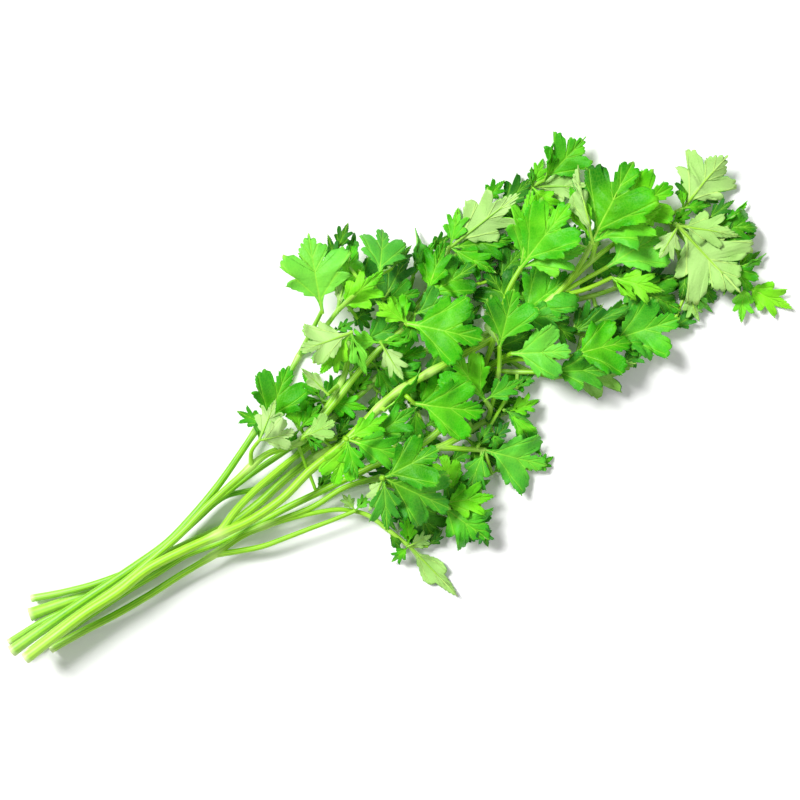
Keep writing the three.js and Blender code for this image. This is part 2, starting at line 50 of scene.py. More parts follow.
# ---- The bunch: driving dimensions in millimetres and degrees, as in the model ----
BLADE_THICKNESS = 0.7
CLEARANCE = 0.45                # free height between two leafy stems
STEM_SIDES = 6                  # sides of the model's bare stems
STEM_STEP = 13                  # length of a straight piece of bare stem
STALK_STEP = 9                  # length of a straight piece of stalk
ROUTE_FINENESS = 8              # points of a smooth route between two of its given ones
MAX_STALK_DIP = 0.5             # steepest way down for a stalk, as rise over run
RAISED_PITCH = 10               # leaflets start this much above their own pitch
MAX_DROOP = 20                  # and sink by this much below it, until they touch
DROOP_STEP = 2
SIBLING_FREE = 0.35             # leaflets of one fork may touch up to this part of their length
OWN_FREE = 6                    # a stalk may touch its own stem's leaflets this near its root
MIDDLE = np.array([-4.29, 0.933, 0.0])
TOUCH = 1e-6

CELL = 1.0                      # the height map of what lies on the floor
MAP_COLUMNS = 360
MAP_ROWS = 200
SAMPLE_STEP = 0.9

# Half outlines as (along, across) parts of the length and the width, after the width's part of the length.
HUB = 0.45                      # the blade's flat facets fan out from this point of the midrib
OUTLINES = {
    "cut": (1.05, [(0, .02), (.2, .06), (.38, .4), (.47, .25), (.66, .48), (.77, .36), (.56, .08),
                   (.78, .2), (.87, .12)]),
    "fan": (.9, [(0, .03), (.2, .08), (.43, .46), (.5, .36), (.7, .5), (.82, .36), (.69, .15), (.9, .16)]),
    "side": (.65, [(0, .03), (.2, .07), (.42, .46), (.51, .25), (.74, .44), (.65, .15)]),
    "slim": (.42, [(0, .06), (.22, .12), (.52, .5), (.66, .21)]),
}
LOBES_START = 0.3               # from here on the points of an outline differ in reach
REACH_SPREAD = 0.07
RIPPLE_TURN = 14                # how fast a blade's ripple runs along it, in radians
TOP = 0                         # the leaflet's upper face is up
UNDER = 180                     # its pale under face is up
EDGE = 57                       # it stands on its edge
FLAT_ROLL = 14                  # how far a leaflet rolls about its length
EDGE_ROLL = 8                   # and how far where it stands on its edge

# What a leaflet draws by its number, as (use of the draw, middle, furthest from the middle).
QUALITIES = {
    "width": (1, 1, .08), "pitch": (2, 2, 6), "roll": (3, 0, 1), "skew": (4, 0, .10), "fold": (5, .16, .10),
    "arch": (6, .04, .03), "droop": (7, .07, .06), "ripple": (8, .10, .06), "phase": (9, 0, 3),
    "tone": (12, 0, .85), "waves": (13, 0, 1.4), "curl": (14, 0, .08), "dull": (15, 0, 1),
}
LEFT_USE = 20                   # first uses of the draw for the reach of an outline's points
RIGHT_USE = 40

# Stem number, radius at the root, radius at the end, route, leaflets as [outline, heading, length, face].
PLAN = [
  [2, 2.1, 1.1, [[-144, -12], [-132, -13], [-117, -14], [-101, -13], [-86, -12], [-70, -12],
    [-58, -10], [-46, -6], [-28, -2], [-10, -1], [8, -1]], []],
  [1, 1.1, .8, [[-155, -18], [-141, -16], [-117, -15], [-97, -12], [-81, -7], [-65, -2], [-53, -4],
    [-38, 0], [-18, 11], [-1, 19], [17, 28], [32, 36]], []],
  [3, 1.2, .9, [[-141, -7], [-127, -10], [-110, -12], [-96, -11], [-83, -7], [-70, -3], [-55, 1],
    [-44, 3], [-28, 6], [-13, 9], [7, 16], [23, 16], [41, 13], [60, 14], [69, 13]], []],
  [3, .9, .7, [[69, 13], [83, 10], [95, 9]], [["side", -16, 19], ["cut", -49, 22], ["side", -85, 12]]],
  [3, .9, .7, [[60, 14], [72, 1], [82, -7]], [["fan", -6, 26], ["slim", -43, 16]]],
  [3, .8, .7, [[60, 14], [65, 8], [70, 1]], [["slim", 35, 15, UNDER], ["side", 17, 16], ["slim", 0, 23]]],
  [3, .8, .7, [[41, 13], [49, -2], [59, -11]], [["side", -14, 30, UNDER]]],
  [3, .8, .7, [[41, 13], [49, 13], [56, 14]], [["fan", 14, 24], ["side", -26, 18], ["fan", 100, 20]]],
  [1, .9, .7, [[32, 36], [55, 46], [74, 52], [79, 54]],
    [["side", -25, 23, UNDER], ["side", 42, 11], ["slim", 66, 7], ["side", -75, 15]]],
  [1, .7, .6, [[79, 54], [84, 54]], [["cut", 22, 21], ["slim", 54, 13, EDGE]]],
  [1, .8, .7, [[32, 36], [44, 46]],
    [["side", -17, 24], ["side", 13, 33, UNDER], ["side", 53, 15], ["side", -54, 20]]],
  [1, .8, .7, [[17, 28], [28, 42]], [["side", 138, 10, UNDER], ["side", 33, 15], ["slim", 58, 17, EDGE]]],
  [3, .8, .7, [[23, 16], [27, 18]], [["side", -103, 19], ["fan", 13, 16], ["side", 85, 15]]],
  [1, .8, .7, [[-1, 19], [3, 19]],
    [["fan", -9, 19], ["side", -84, 15], ["side", -42, 20], ["side", 126, 10]]],
  [1, .8, .7, [[-18, 11], [-19, 15]],
    [["side", 102, 13], ["side", 30, 12], ["slim", 160, 9], ["side", -34, 17]]],
  [2, .9, .7, [[-10, -1], [0, -17], [10, -34]], [["slim", -3, 14], ["fan", 81, 15], ["side", -104, 14]]],
  [2, .9, .7, [[-28, -2], [-18, -15], [-7, -24]],
    [["side", 7, 15, UNDER], ["side", -84, 15], ["side", -155, 14]]],
  [2, 1.1, .8, [[8, -1], [10, -1]], [["side", -117, 14], ["side", 19, 18]]],
  [4, 1.9, .9, [[-154, -21], [-134, -17], [-117, -14], [-100, -11], [-90, -9], [-71, -1], [-57, 7],
    [-43, 16], [-33, 23], [-20, 33]], []],
  [5, 1.4, 1.1, [[-147, -24], [-132, -22], [-115, -19], [-99, -17], [-83, -15], [-69, -16], [-55, -15],
    [-40, -14], [-28, -14], [-13, -13], [0, -14], [15, -11], [30, -3], [37, 2]], []],
  [6, 1.4, .9, [[-142, -26], [-130, -25], [-114, -24], [-97, -22], [-85, -20], [-76, -19], [-65, -17],
    [-53, -17], [-42, -18], [-30, -17], [-21, -16], [-11, -18]], []],
  [7, 1.5, .9, [[-148, -24], [-129, -19], [-112, -16], [-97, -12], [-84, -8], [-72, -3], [-65, -1],
    [-51, 4], [-41, 6], [-31, 5], [-20, 11], [-6, 22], [-1, 31]], []],
  [8, 1.8, 1.1, [[-149, -25], [-136, -22], [-123, -19], [-110, -17], [-98, -14], [-84, -13],
    [-70, -13], [-59, -13], [-47, -11], [-38, -8], [-28, -4], [-15, -1], [-2, 5], [7, 7], [23, 9],
    [39, 10], [55, 12], [70, 15]], []],
  [8, 1.0, .7, [[70, 15], [86, 21], [104, 25], [112, 26], [116, 26], [119, 22]], []],
  [8, .7, .6, [[119, 22], [123, 9], [129, 0], [133, -8]], [["side", -50, 20], ["side", -117, 14]]],
  [8, .7, .6, [[119, 22], [128, 9], [134, -2]],
    [["side", 14, 10], ["slim", 45, 8], ["slim", -2, 11, EDGE]]],
  [8, .7, .6, [[119, 22], [116, 8], [114, -2]], [["side", -94, 12, UNDER], ["slim", -62, 12]]],
  [8, .7, .6, [[119, 22], [125, 18], [130, 15]],
    [["side", 19, 9], ["slim", 8, 17, EDGE], ["fan", -24, 17]]],
  [8, .9, .7, [[70, 15], [81, 13], [91, 13]], [["side", -39, 19], ["slim", -68, 12]]],
  [8, .8, .7, [[116, 26], [121, 25], [124, 25]],
    [["side", -18, 10], ["cut", 27, 25, UNDER], ["slim", 72, 8]]],
  [8, .9, .7, [[70, 15], [79, 16], [91, 17]], [["fan", 7, 25]]],
  [8, .7, .7, [[119, 22], [119, 20]],
    [["side", -145, 15, UNDER], ["cut", -70, 32, UNDER], ["side", -32, 23, UNDER]]],
  [8, .8, .7, [[86, 21], [94, 29], [100, 32]], [["fan", 3, 23], ["side", 92, 18]]],
  [8, 1.0, .8, [[70, 15], [80, 20], [89, 27]],
    [["side", 3, 28], ["fan", 40, 31], ["slim", 89, 21], ["slim", 80, 27, UNDER + EDGE]]],
  [5, .9, .7, [[37, 2], [42, -1], [57, -8]], [["side", -22, 25]]],
  [5, .9, .7, [[37, 2], [45, 2], [53, -2], [66, -6]], [["fan", -10, 23]]],
  [5, .9, .8, [[37, 2], [44, 3], [48, 3]], [["fan", -22, 21]]],
  [5, 1.0, .8, [[37, 2], [48, 14], [57, 25], [63, 29]],
    [["side", -9, 24], ["side", 59, 28], ["fan", 28, 28]]],
  [5, 1.3, .9, [[0, -14], [12, -17], [22, -16], [31, -15], [39, -15]],
    [["side", -5, 12], ["slim", -76, 20]]],
  [5, .8, .7, [[31, -15], [31, -18], [31, -19]], [["side", -89, 10]]],
  [5, 1.1, .8, [[12, -17], [20, -21], [26, -24]], [["fan", -38, 23], ["side", -136, 17]]],
  [5, .8, .7, [[31, -15], [36, -9], [42, 0], [45, 7]], [["slim", 88, 14, UNDER], ["fan", 53, 21]]],
  [5, .8, .7, [[31, -15], [34, -11], [33, -8]], [["fan", 102, 20], ["side", 5, 15]]],
  [7, 1.3, .9, [[-31, 5], [-18, 11], [-3, 19], [9, 24], [18, 26]], []],
  [7, .8, .7, [[18, 26], [23, 30], [29, 33]], [["fan", 10, 21], ["side", 48, 22]]],
  [7, .9, .8, [[18, 26], [19, 27]], [["fan", 97, 12], ["fan", -36, 27], ["side", 120, 14]]],
  [7, .8, .7, [[9, 24], [8, 25]], [["side", -83, 16, UNDER], ["slim", -20, 11], ["side", 150, 13]]],
  [8, .8, .7, [[-2, 5], [0, 3]], [["slim", 17, 19, EDGE]]],
  [8, .8, .7, [[7, 7], [10, 1]], [["fan", -31, 25]]],
  [4, .9, .7, [[-20, 33], [-9, 37], [-1, 41]],
    [["slim", 54, 29], ["side", 16, 22], ["slim", 53, 20, UNDER]]],
  [4, .8, .7, [[-1, 41], [9, 44], [17, 46]], [["fan", 61, 19]]],
  [4, .9, .7, [[-20, 33], [-13, 38], [-6, 43]], [["cut", 76, 27]]],
  [7, .9, .8, [[-1, 31], [0, 32]], [["side", -151, 20], ["slim", -95, 16], ["fan", 176, 19, UNDER]]],
  [7, .7, .6, [[-11, 17], [-16, 16]], [["slim", 110, 13, UNDER]]],
  [4, .8, .7, [[-33, 23], [-31, 16], [-30, 9]], [["fan", 77, 12], ["side", 25, 12]]],
  [4, .9, .8, [[-43, 16], [-40, 15]], [["side", 131, 12], ["fan", 44, 23]]],
  [8, 1.4, .9, [[-70, -12], [-60, -7], [-46, -2], [-30, 2], [-22, 2], [-17, 0]], []],
  [7, .8, .6, [[-51, 4], [-48, 9], [-44, 11]],
    [["slim", 68, 9], ["side", 43, 16, UNDER], ["fan", -11, 13, UNDER]]],
  [7, .8, .7, [[-31, 5], [-29, 6]], [["side", -58, 8], ["fan", 0, 12, UNDER]]],
  [6, .9, .7, [[-11, -18], [-2, -27], [4, -35]], [["cut", -60, 22], ["side", -15, 20]]],
  [6, .9, .7, [[-55, -17], [-42, -19], [-30, -22], [-22, -27], [-18, -33], [-12, -44]],
    [["side", 71, 12], ["side", -161, 9], ["side", 1, 10, UNDER], ["slim", -70, 25, UNDER]]],
  [6, 1.1, .7, [[-76, -18], [-60, -23], [-45, -24], [-28, -25], [-24, -25]],
    [["side", 104, 8, UNDER], ["side", 25, 8]]],
  [8, .8, .7, [[-17, 0], [-9, -4]], [["side", 10, 20]]],
  [8, .9, .8, [[-17, 0], [-16, -1]],
    [["fan", -130, 17], ["side", -101, 15], ["side", 8, 17], ["side", -41, 23]]],
  [6, 1.0, .8, [[-11, -18], [-10, -18]],
    [["side", -137, 14, UNDER], ["fan", -50, 27], ["side", -110, 19], ["fan", 3, 22]]],
]

# ---- The view, straight from above ----
VIEW_WIDTH = 0.280              # at the height of the leaves, in metres
VIEW_TURN = -24                 # the bunch rises to the right across the view, in degrees
VIEW_STEPS = 800                # steps across the view and down it
VIEW_STEP = VIEW_WIDTH / MM / VIEW_STEPS
VIEW_MIDDLE_X = 6               # the place of the plan in the middle of the view
VIEW_MIDDLE_Y = 4

# Low sprays that fill the bunch from below: stem number, fork, least height of the fork in millimetres,
# leaflets as [tip, outline, face]. Forks and tips are places across the view and down it, in its steps.
LOW_SPRAYS = [
    [2, (300, 430), 3, [[(275, 452)], [(324, 410), "fan"]]],
    [3, (330, 425), 3, [[(306, 402)], [(352, 402), "fan"]]],
    [7, (335, 452), 4, [[(364, 472), "fan"], [(352, 430)]]],
    [4, (318, 345), 6, [[(345, 330)], [(302, 328), "slim", UNDER]]],
    [1, (350, 372), 3, [[(328, 354)], [(376, 350), "fan"], [(350, 400)]]],
    [3, (378, 392), 2, [[(407, 408), "fan"], [(372, 420)]]],
    [4, (352, 310), 12, [[(400, 262), "fan"], [(376, 332)], [(348, 262), "slim"]]],
    [4, (385, 300), 8, [[(412, 250)], [(422, 292), "fan"]]],
    [7, (365, 340), 4, [[(402, 322), "fan"], [(378, 365), "side", UNDER]]],
    [1, (415, 315), 3, [[(452, 298), "fan"], [(405, 347)]]],
    [1, (440, 275), 3, [[(470, 256)], [(422, 246)]]],
    [3, (455, 330), 3, [[(482, 306)], [(472, 357), "fan"]]],
    [2, (400, 380), 2, [[(434, 400), "fan"], [(420, 360)]]],
    [2, (425, 425), 2, [[(458, 408), "fan"], [(440, 452)]]],
    [8, (430, 372), 6, [[(463, 388), "fan"]]],
    [5, (395, 465), 3, [[(368, 487)], [(422, 487), "fan"]]],
    [6, (412, 498), 3, [[(436, 546), "cut"], [(398, 532)]]],
    [6, (440, 475), 3, [[(472, 502), "fan"], [(457, 452)]]],
    [6, (455, 508), 3, [[(492, 537), "fan"], [(462, 530), "slim"]]],
    [5, (468, 440), 3, [[(497, 467), "fan"], [(482, 414)]]],
    [5, (488, 405), 3, [[(522, 400), "fan"], [(502, 434)]]],
    [5, (495, 378), 3, [[(534, 384)], [(478, 352)]]],
    [3, (492, 350), 3, [[(534, 333), "fan"], [(512, 368)]]],
    [5, (505, 408), 4, [[(534, 424)], [(540, 400), "slim"]]],
    [1, (486, 238), 2, [[(522, 250)], [(502, 202), "fan"]]],
    [1, (500, 208), 2, [[(538, 172)], [(530, 214)]]],
    [3, (482, 292), 2, [[(517, 275), "fan"], [(500, 318)]]],
    [3, (512, 300), 2, [[(548, 284), "fan"], [(542, 328), "fan"]]],
    [3, (545, 318), 2, [[(582, 347)], [(577, 300)]]],
    [1, (540, 228), 2, [[(572, 212), "fan"], [(555, 262)]]],
    [8, (588, 258), 4, [[(624, 272), "fan"], [(600, 224)]]],
    [3, (598, 312), 2, [[(642, 322), "fan"], [(627, 347)]]],
    [3, (578, 352), 2, [[(618, 372), "fan"], [(590, 384), "side", UNDER]]],
    [3, (640, 290), 2, [[(668, 320)], [(672, 288)]]],
    [8, (628, 246), 4, [[(658, 256)], [(652, 222), "slim"]]],
    [8, (690, 262), 6, [[(718, 304), "fan"], [(682, 304)]]],
    [8, (722, 240), 5, [[(752, 264)], [(757, 234), "fan"], [(744, 214), "slim"]]],
    [8, (690, 205), 6, [[(724, 186)], [(684, 172)]]],
    [7, (498, 278), 4, [[(522, 248), "fan"], [(530, 270), "slim"]]],
    [8, (728, 262), 5, [[(752, 292), "fan"], [(722, 296)]]],
    [4, (352, 262), 8, [[(356, 230), "slim"]]],
    [5, (480, 520), 3, [[(490, 548)]]],
    [4, (392, 268), 8, [[(412, 244)]]],
    [8, (672, 222), 5, [[(694, 208)]]],
    [8, (672, 328), 4, [[(702, 310)]]],
    [1, (426, 250), 3, [[(452, 232)]]],
    [8, (708, 220), 5, [[(736, 200)]]],
    [3, (480, 398), 3, [[(494, 368)]]],
    [4, (336, 252), 8, [[(348, 222)]]],
    [5, (530, 470), 3, [[(556, 456)]]],
    [5, (618, 366), 3, [[(646, 350)]]],
    [6, (388, 530), 3, [[(402, 556), "slim"]]],
    [6, (428, 548), 3, [[(444, 530)]]],
    [7, (336, 438), 4, [[(352, 414)]]],
    [4, (358, 318), 8, [[(376, 300)]]],
    [7, (314, 490), 4, [[(332, 470)]]],
    [2, (450, 462), 2, [[(474, 446)]]],
    [5, (492, 476), 3, [[(512, 460)]]],
    [5, (494, 440), 4, [[(512, 420)]]],
    [1, (484, 200), 3, [[(508, 178)]]],
    [3, (478, 446), 3, [[(492, 422)]]],
    [3, (578, 292), 3, [[(600, 272)]]],
    [2, (394, 446), 2, [[(410, 424)]]],
    [3, (616, 280), 3, [[(638, 262)]]],
    [4, (338, 268), 8, [[(328, 236)]]],
    [1, (352, 392), 3, [[(372, 370)]]],
    [6, (380, 508), 3, [[(398, 532)]]],
    [5, (516, 388), 3, [[(536, 370)]]],
    [1, (480, 270), 3, [[(498, 254)]]],
    [5, (470, 422), 3, [[(486, 398)]]],
    [4, (334, 332), 6, [[(354, 322)]]],
    [8, (566, 242), 4, [[(584, 222)]]],
]

# ---- What only the dressed bunch has, in millimetres ----
LOW_STALK_RADIUS = 0.6
LOW_STALK_CORNERS = 5
FIRST_LOW_NUMBER = 200          # the low leaflets' numbers, for their draws

FINE_THICKNESS = 0.36
RINGS = [0.0, 0.36, 0.66, 0.88, 1.0]        # rings of a blade's mesh, from its spine to its edge
# How each stretch of a half outline runs, as one letter of WAYS.
STRETCHES = {"cut": "hbnfvnftt", "fan": "hbnfvntt", "side": "hbnfne", "slim": "hbne"}
# How far a stretch stands out, the parts of it where its notches begin and end, and their number.
WAYS = {
    "h": (-.07, 1, 1, 0), "b": (.07, .35, 1, 3), "f": (.10, .40, 1, 3), "n": (.16, 0, .45, 1),
    "v": (.03, 0, 1, 2), "t": (.03, 0, 1, 2), "e": (.10, .30, 1, 4),
}
# A notch and the tooth after it: part of their length, and how far they stand out as a part of it.
NOTCH = np.array([(0, 0), (.18, -.40), (.36, -.12), (.72, .05)])
SMOOTH_POINTS = 4
SPINE_START = 0.10              # where the blade's spokes leave the midrib, as parts of its length
SPINE_REACH = 0.50
SPINE_STEP = 0.004
SPINE_SPLIT = 0.005             # half the width of the faces along the midrib
ANGLE_STEP = 0.0004             # radians that keep two points of an outline apart
TOOTH_WINDOW = 5                # outline points on each side that a tooth is measured against
TOOTH_TIP = 6                   # how sharply a tooth's tip is told from its sides
EDGE_RING = 0.96                # teeth are coloured past this part of a spoke

PLEAT = 0.045                   # height of the waves round a blade's edge, as a part of its length
WAVES = 5                       # waves round a blade
FREE_PART = 0.3                 # a blade is held by its stalk up to this part of its length
LOW_PAINTED_SHADE = 1.2                 # painted shade: how much darker the low leaflets deep in the bunch are
LEAF_TONES = {1: 0.45, 2: 0.1, 3: -0.25, 4: 0.35, 5: 0.0, 6: 0.2, 7: 0.45, 8: 0.5}
MIDRIB = (-0.04, 0.72)          # where a leaflet's own stalk begins and its midrib ends
MIDRIB_POINTS = 8
MIDRIB_RADIUS = 0.55            # in a leaflet of the usual length
USUAL_LENGTH = 25

FINE_CELL = 0.5                 # the fine height map
FINE_COLUMNS = 800
FINE_ROWS = 440
FINE_GAP = 0.15                 # free height between two fine blades
RING_STEPS = 12                 # samples between two rings of a blade
BULGE_REACH = 3                 # cells that a bulge reaches past what it covers
MAX_BULGE = 6.0
LOWEST_BLADE = FINE_THICKNESS / 2 + 0.1
MARKS_ALONG = 8                 # marks of a stalk's top between two points of its line
MARKS_ACROSS = 9
TINY = 1e-9                     # keeps a length from being nothing

STEM_RIBS = 9
RIB_DEPTH = 0.05                # as a part of the stem's radius
SIDES_PER_RIB = 2
SHARP_EDGE = 60                 # the cut end keeps its edge, in degrees
STEM_TONES = {1: 0.0, 2: 0.8, 3: 0.1, 4: 0.1, 5: 0.4, 6: 0.6, 7: 0.5, 8: 0.9}
TONE_SPREAD = 0.1
COLLAR_SWELL = 0.30             # a collar's part of the radius
COLLAR_REACH = 3.5
STALK_COLLAR = 0.5              # a stalk's collars, beside those of a stem
MIDRIB_COLLAR = 0.25
CUT_SWELL = 0.14                # how much wider a stem is where it was cut
CUT_REACH = 4
FAR_FROM_CUT = 100.0            # the run of what grows far from the cut end


# ---- Leaflets: size, tilt and curl ----
def draw(number, use):
    """The same draw, between -1 and 1, each time for a number and a use."""
    wave = math.sin(number * 127.1 + use * 311.7) * 43758.5453
    return 2 * (wave - math.floor(wave)) - 1


class Leaflet:
    """One leaflet, from its row in the plan and its number."""

    def __init__(self, outline, heading, length, face=TOP, number=0):
        self.number = number
        self.kind = outline
        self.outline = OUTLINES[outline][1]
        self.heading = math.radians(heading)
        self.length = length
        self.width = length * OUTLINES[outline][0] * self.drawn("width")
        self.pitch = self.drawn("pitch")
        self.roll = math.radians(face + (FLAT_ROLL if face % 180 == 0 else EDGE_ROLL) * self.drawn("roll"))
        self.skew = self.drawn("skew")
        self.fold = self.drawn("fold")
        self.arch = self.drawn("arch")
        self.droop = self.drawn("droop")
        self.ripple = self.drawn("ripple")
        self.phase = self.drawn("phase")
        self.facet_points, self.facet_alongs = self.samples()

    def drawn(self, quality):
        """The leaflet's own value of a quality."""
        use, middle, furthest = QUALITIES[quality]
        return middle + furthest * draw(self.number, use)

    def surface(self, along, across):
        """Points of the blade's middle surface, before the leaflet is turned."""
        along, across = np.asarray(along, float), np.asarray(across, float)
        side = across * (1 + self.skew * np.sign(across))
        lift = (self.arch * 4 * along * (1 - along) - self.droop * along * along
                + self.fold * np.abs(across)
                + self.ripple * np.abs(across) * np.sin(RIPPLE_TURN * along + self.phase))
        return np.stack([along * self.length, side * self.width, lift * self.length], axis=-1)

    def rim(self):
        """The closed outline, from the base along the left side to the tip and back."""
        def reach(point, use):
            scale = 1 if point[0] < LOBES_START else 1 + REACH_SPREAD * draw(self.number, use)
            return (HUB + (point[0] - HUB) * scale, point[1] * scale)
        left = [reach(point, LEFT_USE + i) for i, point in enumerate(self.outline)]
        right = [reach((point[0], -point[1]), RIGHT_USE + i) for i, point in enumerate(self.outline)]
        return left + [(1.0, 0.0)] + right[::-1]

    def turned(self, points, pitch=None):
        """Points rolled about the leaflet's length, then pitched, then headed."""
        x, y, z = points[..., 0], points[..., 1], points[..., 2]
        y1 = y * math.cos(self.roll) - z * math.sin(self.roll)
        z1 = y * math.sin(self.roll) + z * math.cos(self.roll)
        tilt = math.radians(self.pitch if pitch is None else pitch)
        x2 = x * math.cos(tilt) - z1 * math.sin(tilt)
        z2 = x * math.sin(tilt) + z1 * math.cos(tilt)
        return np.stack([x2 * math.cos(self.heading) - y1 * math.sin(self.heading),
                         x2 * math.sin(self.heading) + y1 * math.cos(self.heading), z2], axis=-1)

    def samples(self):
        """Closely spaced points of the blade's flat facets, and their parts of the length."""
        rim = self.rim()
        hub = self.surface(HUB, 0)
        points, alongs = [], []
        for start, end in zip(rim, rim[1:] + rim[:1]):
            a, b = self.surface(*start), self.surface(*end)
            longest = max(np.linalg.norm(hub - a), np.linalg.norm(hub - b), np.linalg.norm(a - b))
            steps = math.ceil(longest / SAMPLE_STEP)
            j, k = np.meshgrid(np.arange(steps + 1), np.arange(steps + 1), indexing="ij")
            inside = j + k <= steps
            s, t = (j[inside] / steps)[:, None], (k[inside] / steps)[:, None]
            points.append(hub + s * (a - hub) + t * (b - hub))
            alongs.append(HUB + s[:, 0] * (start[0] - HUB) + t[:, 0] * (end[0] - HUB))
        return np.concatenate(points), np.concatenate(alongs)


# ---- Laying one thing on another ----
# A laid stem or stalk: its corners and their radii, whether it is a bare stem, and its resting leaflets.
Shoot = namedtuple("Shoot", "stem centres radii is_stem leaves")


def empty_map():
    return np.full((MAP_COLUMNS, MAP_ROWS), -CLEARANCE)


all_tops = empty_map()
low_tops = empty_map()          # of the low sprays, which lie under all others
leaf_tops = {}
centrelines = {}


def cell_of(places):
    """Columns and rows of the height map."""
    return (np.floor(places[..., 0] / CELL).astype(int) + MAP_COLUMNS // 2,
            np.floor(places[..., 1] / CELL).astype(int) + MAP_ROWS // 2)


def cells_round(tops, place, radius):
    """The part of a height map round a place, as far as the radius."""
    column, row = (int(number) for number in cell_of(place))
    reach = math.ceil(radius / CELL)
    return tops[column - reach:column + reach + 1, row - reach:row + reach + 1]


def spread(tops):
    """Each cell's highest value within one cell of it."""
    wide = np.maximum(tops, np.maximum(np.roll(tops, 1, 0), np.roll(tops, -1, 0)))
    return np.maximum(wide, np.maximum(np.roll(wide, 1, 1), np.roll(wide, -1, 1)))


def height_over_leaves(stem, place, radius):
    """The lowest height for a round stalk over a leafy stem's leaflets."""
    top = cells_round(leaf_tops[stem], place, radius + CELL).max()
    return top + CLEARANCE + radius if top > -CLEARANCE else 0.0


def height_over_others(stem, place, radius):
    """The lowest height for a round stalk over the other leafy stems' leaflets and stalks."""
    bound = 0.0
    for other in leaf_tops:
        if other == stem:
            continue
        bound = max(bound, height_over_leaves(other, place, radius))
        centres = np.array(centrelines[other])
        reach = radius + centres[:, 3] + CLEARANCE
        away = np.hypot(centres[:, 0] - place[0], centres[:, 1] - place[1])
        near = away < reach
        if near.any():
            bound = max(bound, (centres[near, 2] + np.sqrt(reach[near] ** 2 - away[near] ** 2)).max())
    return bound


def rise_needed(leaf, points, base, pitch, spread_tops):
    """How far a leaflet on its base must rise to lie clear of what is below it."""
    placed = leaf.turned(points, pitch) + base
    below = spread_tops[cell_of(placed)] + CLEARANCE
    return (below - (placed[:, 2] - BLADE_THICKNESS / 2)).max()


def resting_pitch(leaf, base, spread_before, spread_now):
    """The lowest pitch that clears what was there before, and if it can the fork's other leaflets."""
    pitches = []
    for droop in range(-RAISED_PITCH, MAX_DROOP + 1, DROOP_STEP):
        if rise_needed(leaf, leaf.facet_points, base, leaf.pitch - droop, spread_before) > TOUCH:
            break
        pitches.append(leaf.pitch - droop)
    outer = leaf.facet_points[leaf.facet_alongs >= SIBLING_FREE]
    clear = [pitch for pitch in pitches if rise_needed(leaf, outer, base, pitch, spread_now) <= TOUCH]
    return (clear or pitches or [leaf.pitch + RAISED_PITCH])[-1]


def rises_needed(leaves, x, y, tops):
    """How high each leaflet of a fork needs the fork to be."""
    fork, spread_tops = np.array([x, y, 0.0]), spread(tops)
    return [rise_needed(leaf, leaf.facet_points, fork, leaf.pitch + RAISED_PITCH, spread_tops)
            for leaf in leaves]


def lay_leaflets(leaves, base, maps):
    """Sinks a fork's leaflets one by one onto what is in the first map, and marks their tops in all maps."""
    spread_before = spread(maps[0])
    for leaf in leaves:
        leaf.pitch = resting_pitch(leaf, base, spread_before, spread(maps[0]))
        placed = leaf.turned(leaf.facet_points) + base
        for tops in maps:
            np.maximum.at(tops, cell_of(placed), placed[:, 2] + BLADE_THICKNESS / 2)


def smooth_route(points):
    """A smooth curve through the given points, in any number of dimensions."""
    points = np.asarray(points, float)
    last = len(points) - 1
    t = (np.arange(ROUTE_FINENESS) / ROUTE_FINENESS)[:, None]
    route = []
    for i in range(last):
        a, b, c, d = points[max(i - 1, 0)], points[i], points[i + 1], points[min(i + 2, last)]
        route.append(0.5 * (2 * b + (c - a) * t + (2 * a - 5 * b + 4 * c - d) * t * t
                            + (3 * b - a - 3 * c + d) * t * t * t))
    return np.concatenate(route + [points[-1:]])


def running_length(route):
    """Distances along a route, seen from above, from its root to each of its points."""
    return np.concatenate([[0], np.cumsum(np.hypot(*np.diff(route[:, :2], axis=0).T))])


def plan_route(points, step):
    """The smooth route, cut in equal straight pieces of about the given length."""
    fine = smooth_route([point[:2] for point in points])
    distances = running_length(fine)
    count = max(2, math.floor(distances[-1] / step + 0.5))
    places = distances[-1] * np.arange(count + 1) / count
    return np.stack([np.interp(places, distances, fine[:, axis]) for axis in (0, 1)], axis=1)


def taut_heights(distances, bounds):
    """Heights of a string pulled tight over the bounds, with both ends on their own bounds."""
    hull = [0]
    for i in range(1, len(bounds)):
        while len(hull) > 1:
            b, a = hull[-1], hull[-2]
            slope_ab = (bounds[b] - bounds[a]) / (distances[b] - distances[a])
            slope_ai = (bounds[i] - bounds[a]) / (distances[i] - distances[a])
            if slope_ab > slope_ai:
                break
            hull.pop()
        hull.append(i)
    return np.interp(distances, distances[hull], np.asarray(bounds)[hull])


def route_bounds(stem, route, radii, root_height):
    """Lowest heights for a route's corners: clear of the other leafy stems along both straight pieces."""
    bounds = [radius * math.cos(math.pi / STEM_SIDES) for radius in radii]
    distance = 0.0
    for i in range(len(route) - 1):
        length = math.hypot(*(route[i + 1] - route[i]))
        steps = math.ceil(length)
        for j in range(steps + 1):
            place = route[i] + (route[i + 1] - route[i]) * j / steps
            bound = height_over_others(stem, place, radii[i])
            if root_height is not None and distance + length * j / steps > OWN_FREE:
                bound = max(bound, height_over_leaves(stem, place, radii[i]))
            bounds[i] = max(bounds[i], bound)
            bounds[i + 1] = max(bounds[i + 1], bound)
        distance += length
    if root_height is not None:
        bounds[0] = root_height
    return bounds


def nearest_place(stem, point):
    """The place on a leafy stem, so far, that is nearest in plan to where a stalk forks from it."""
    if stem not in centrelines:
        return None
    places = np.array(centrelines[stem])
    return places[np.argmin(np.hypot(places[:, 0] - point[0], places[:, 1] - point[1]))]


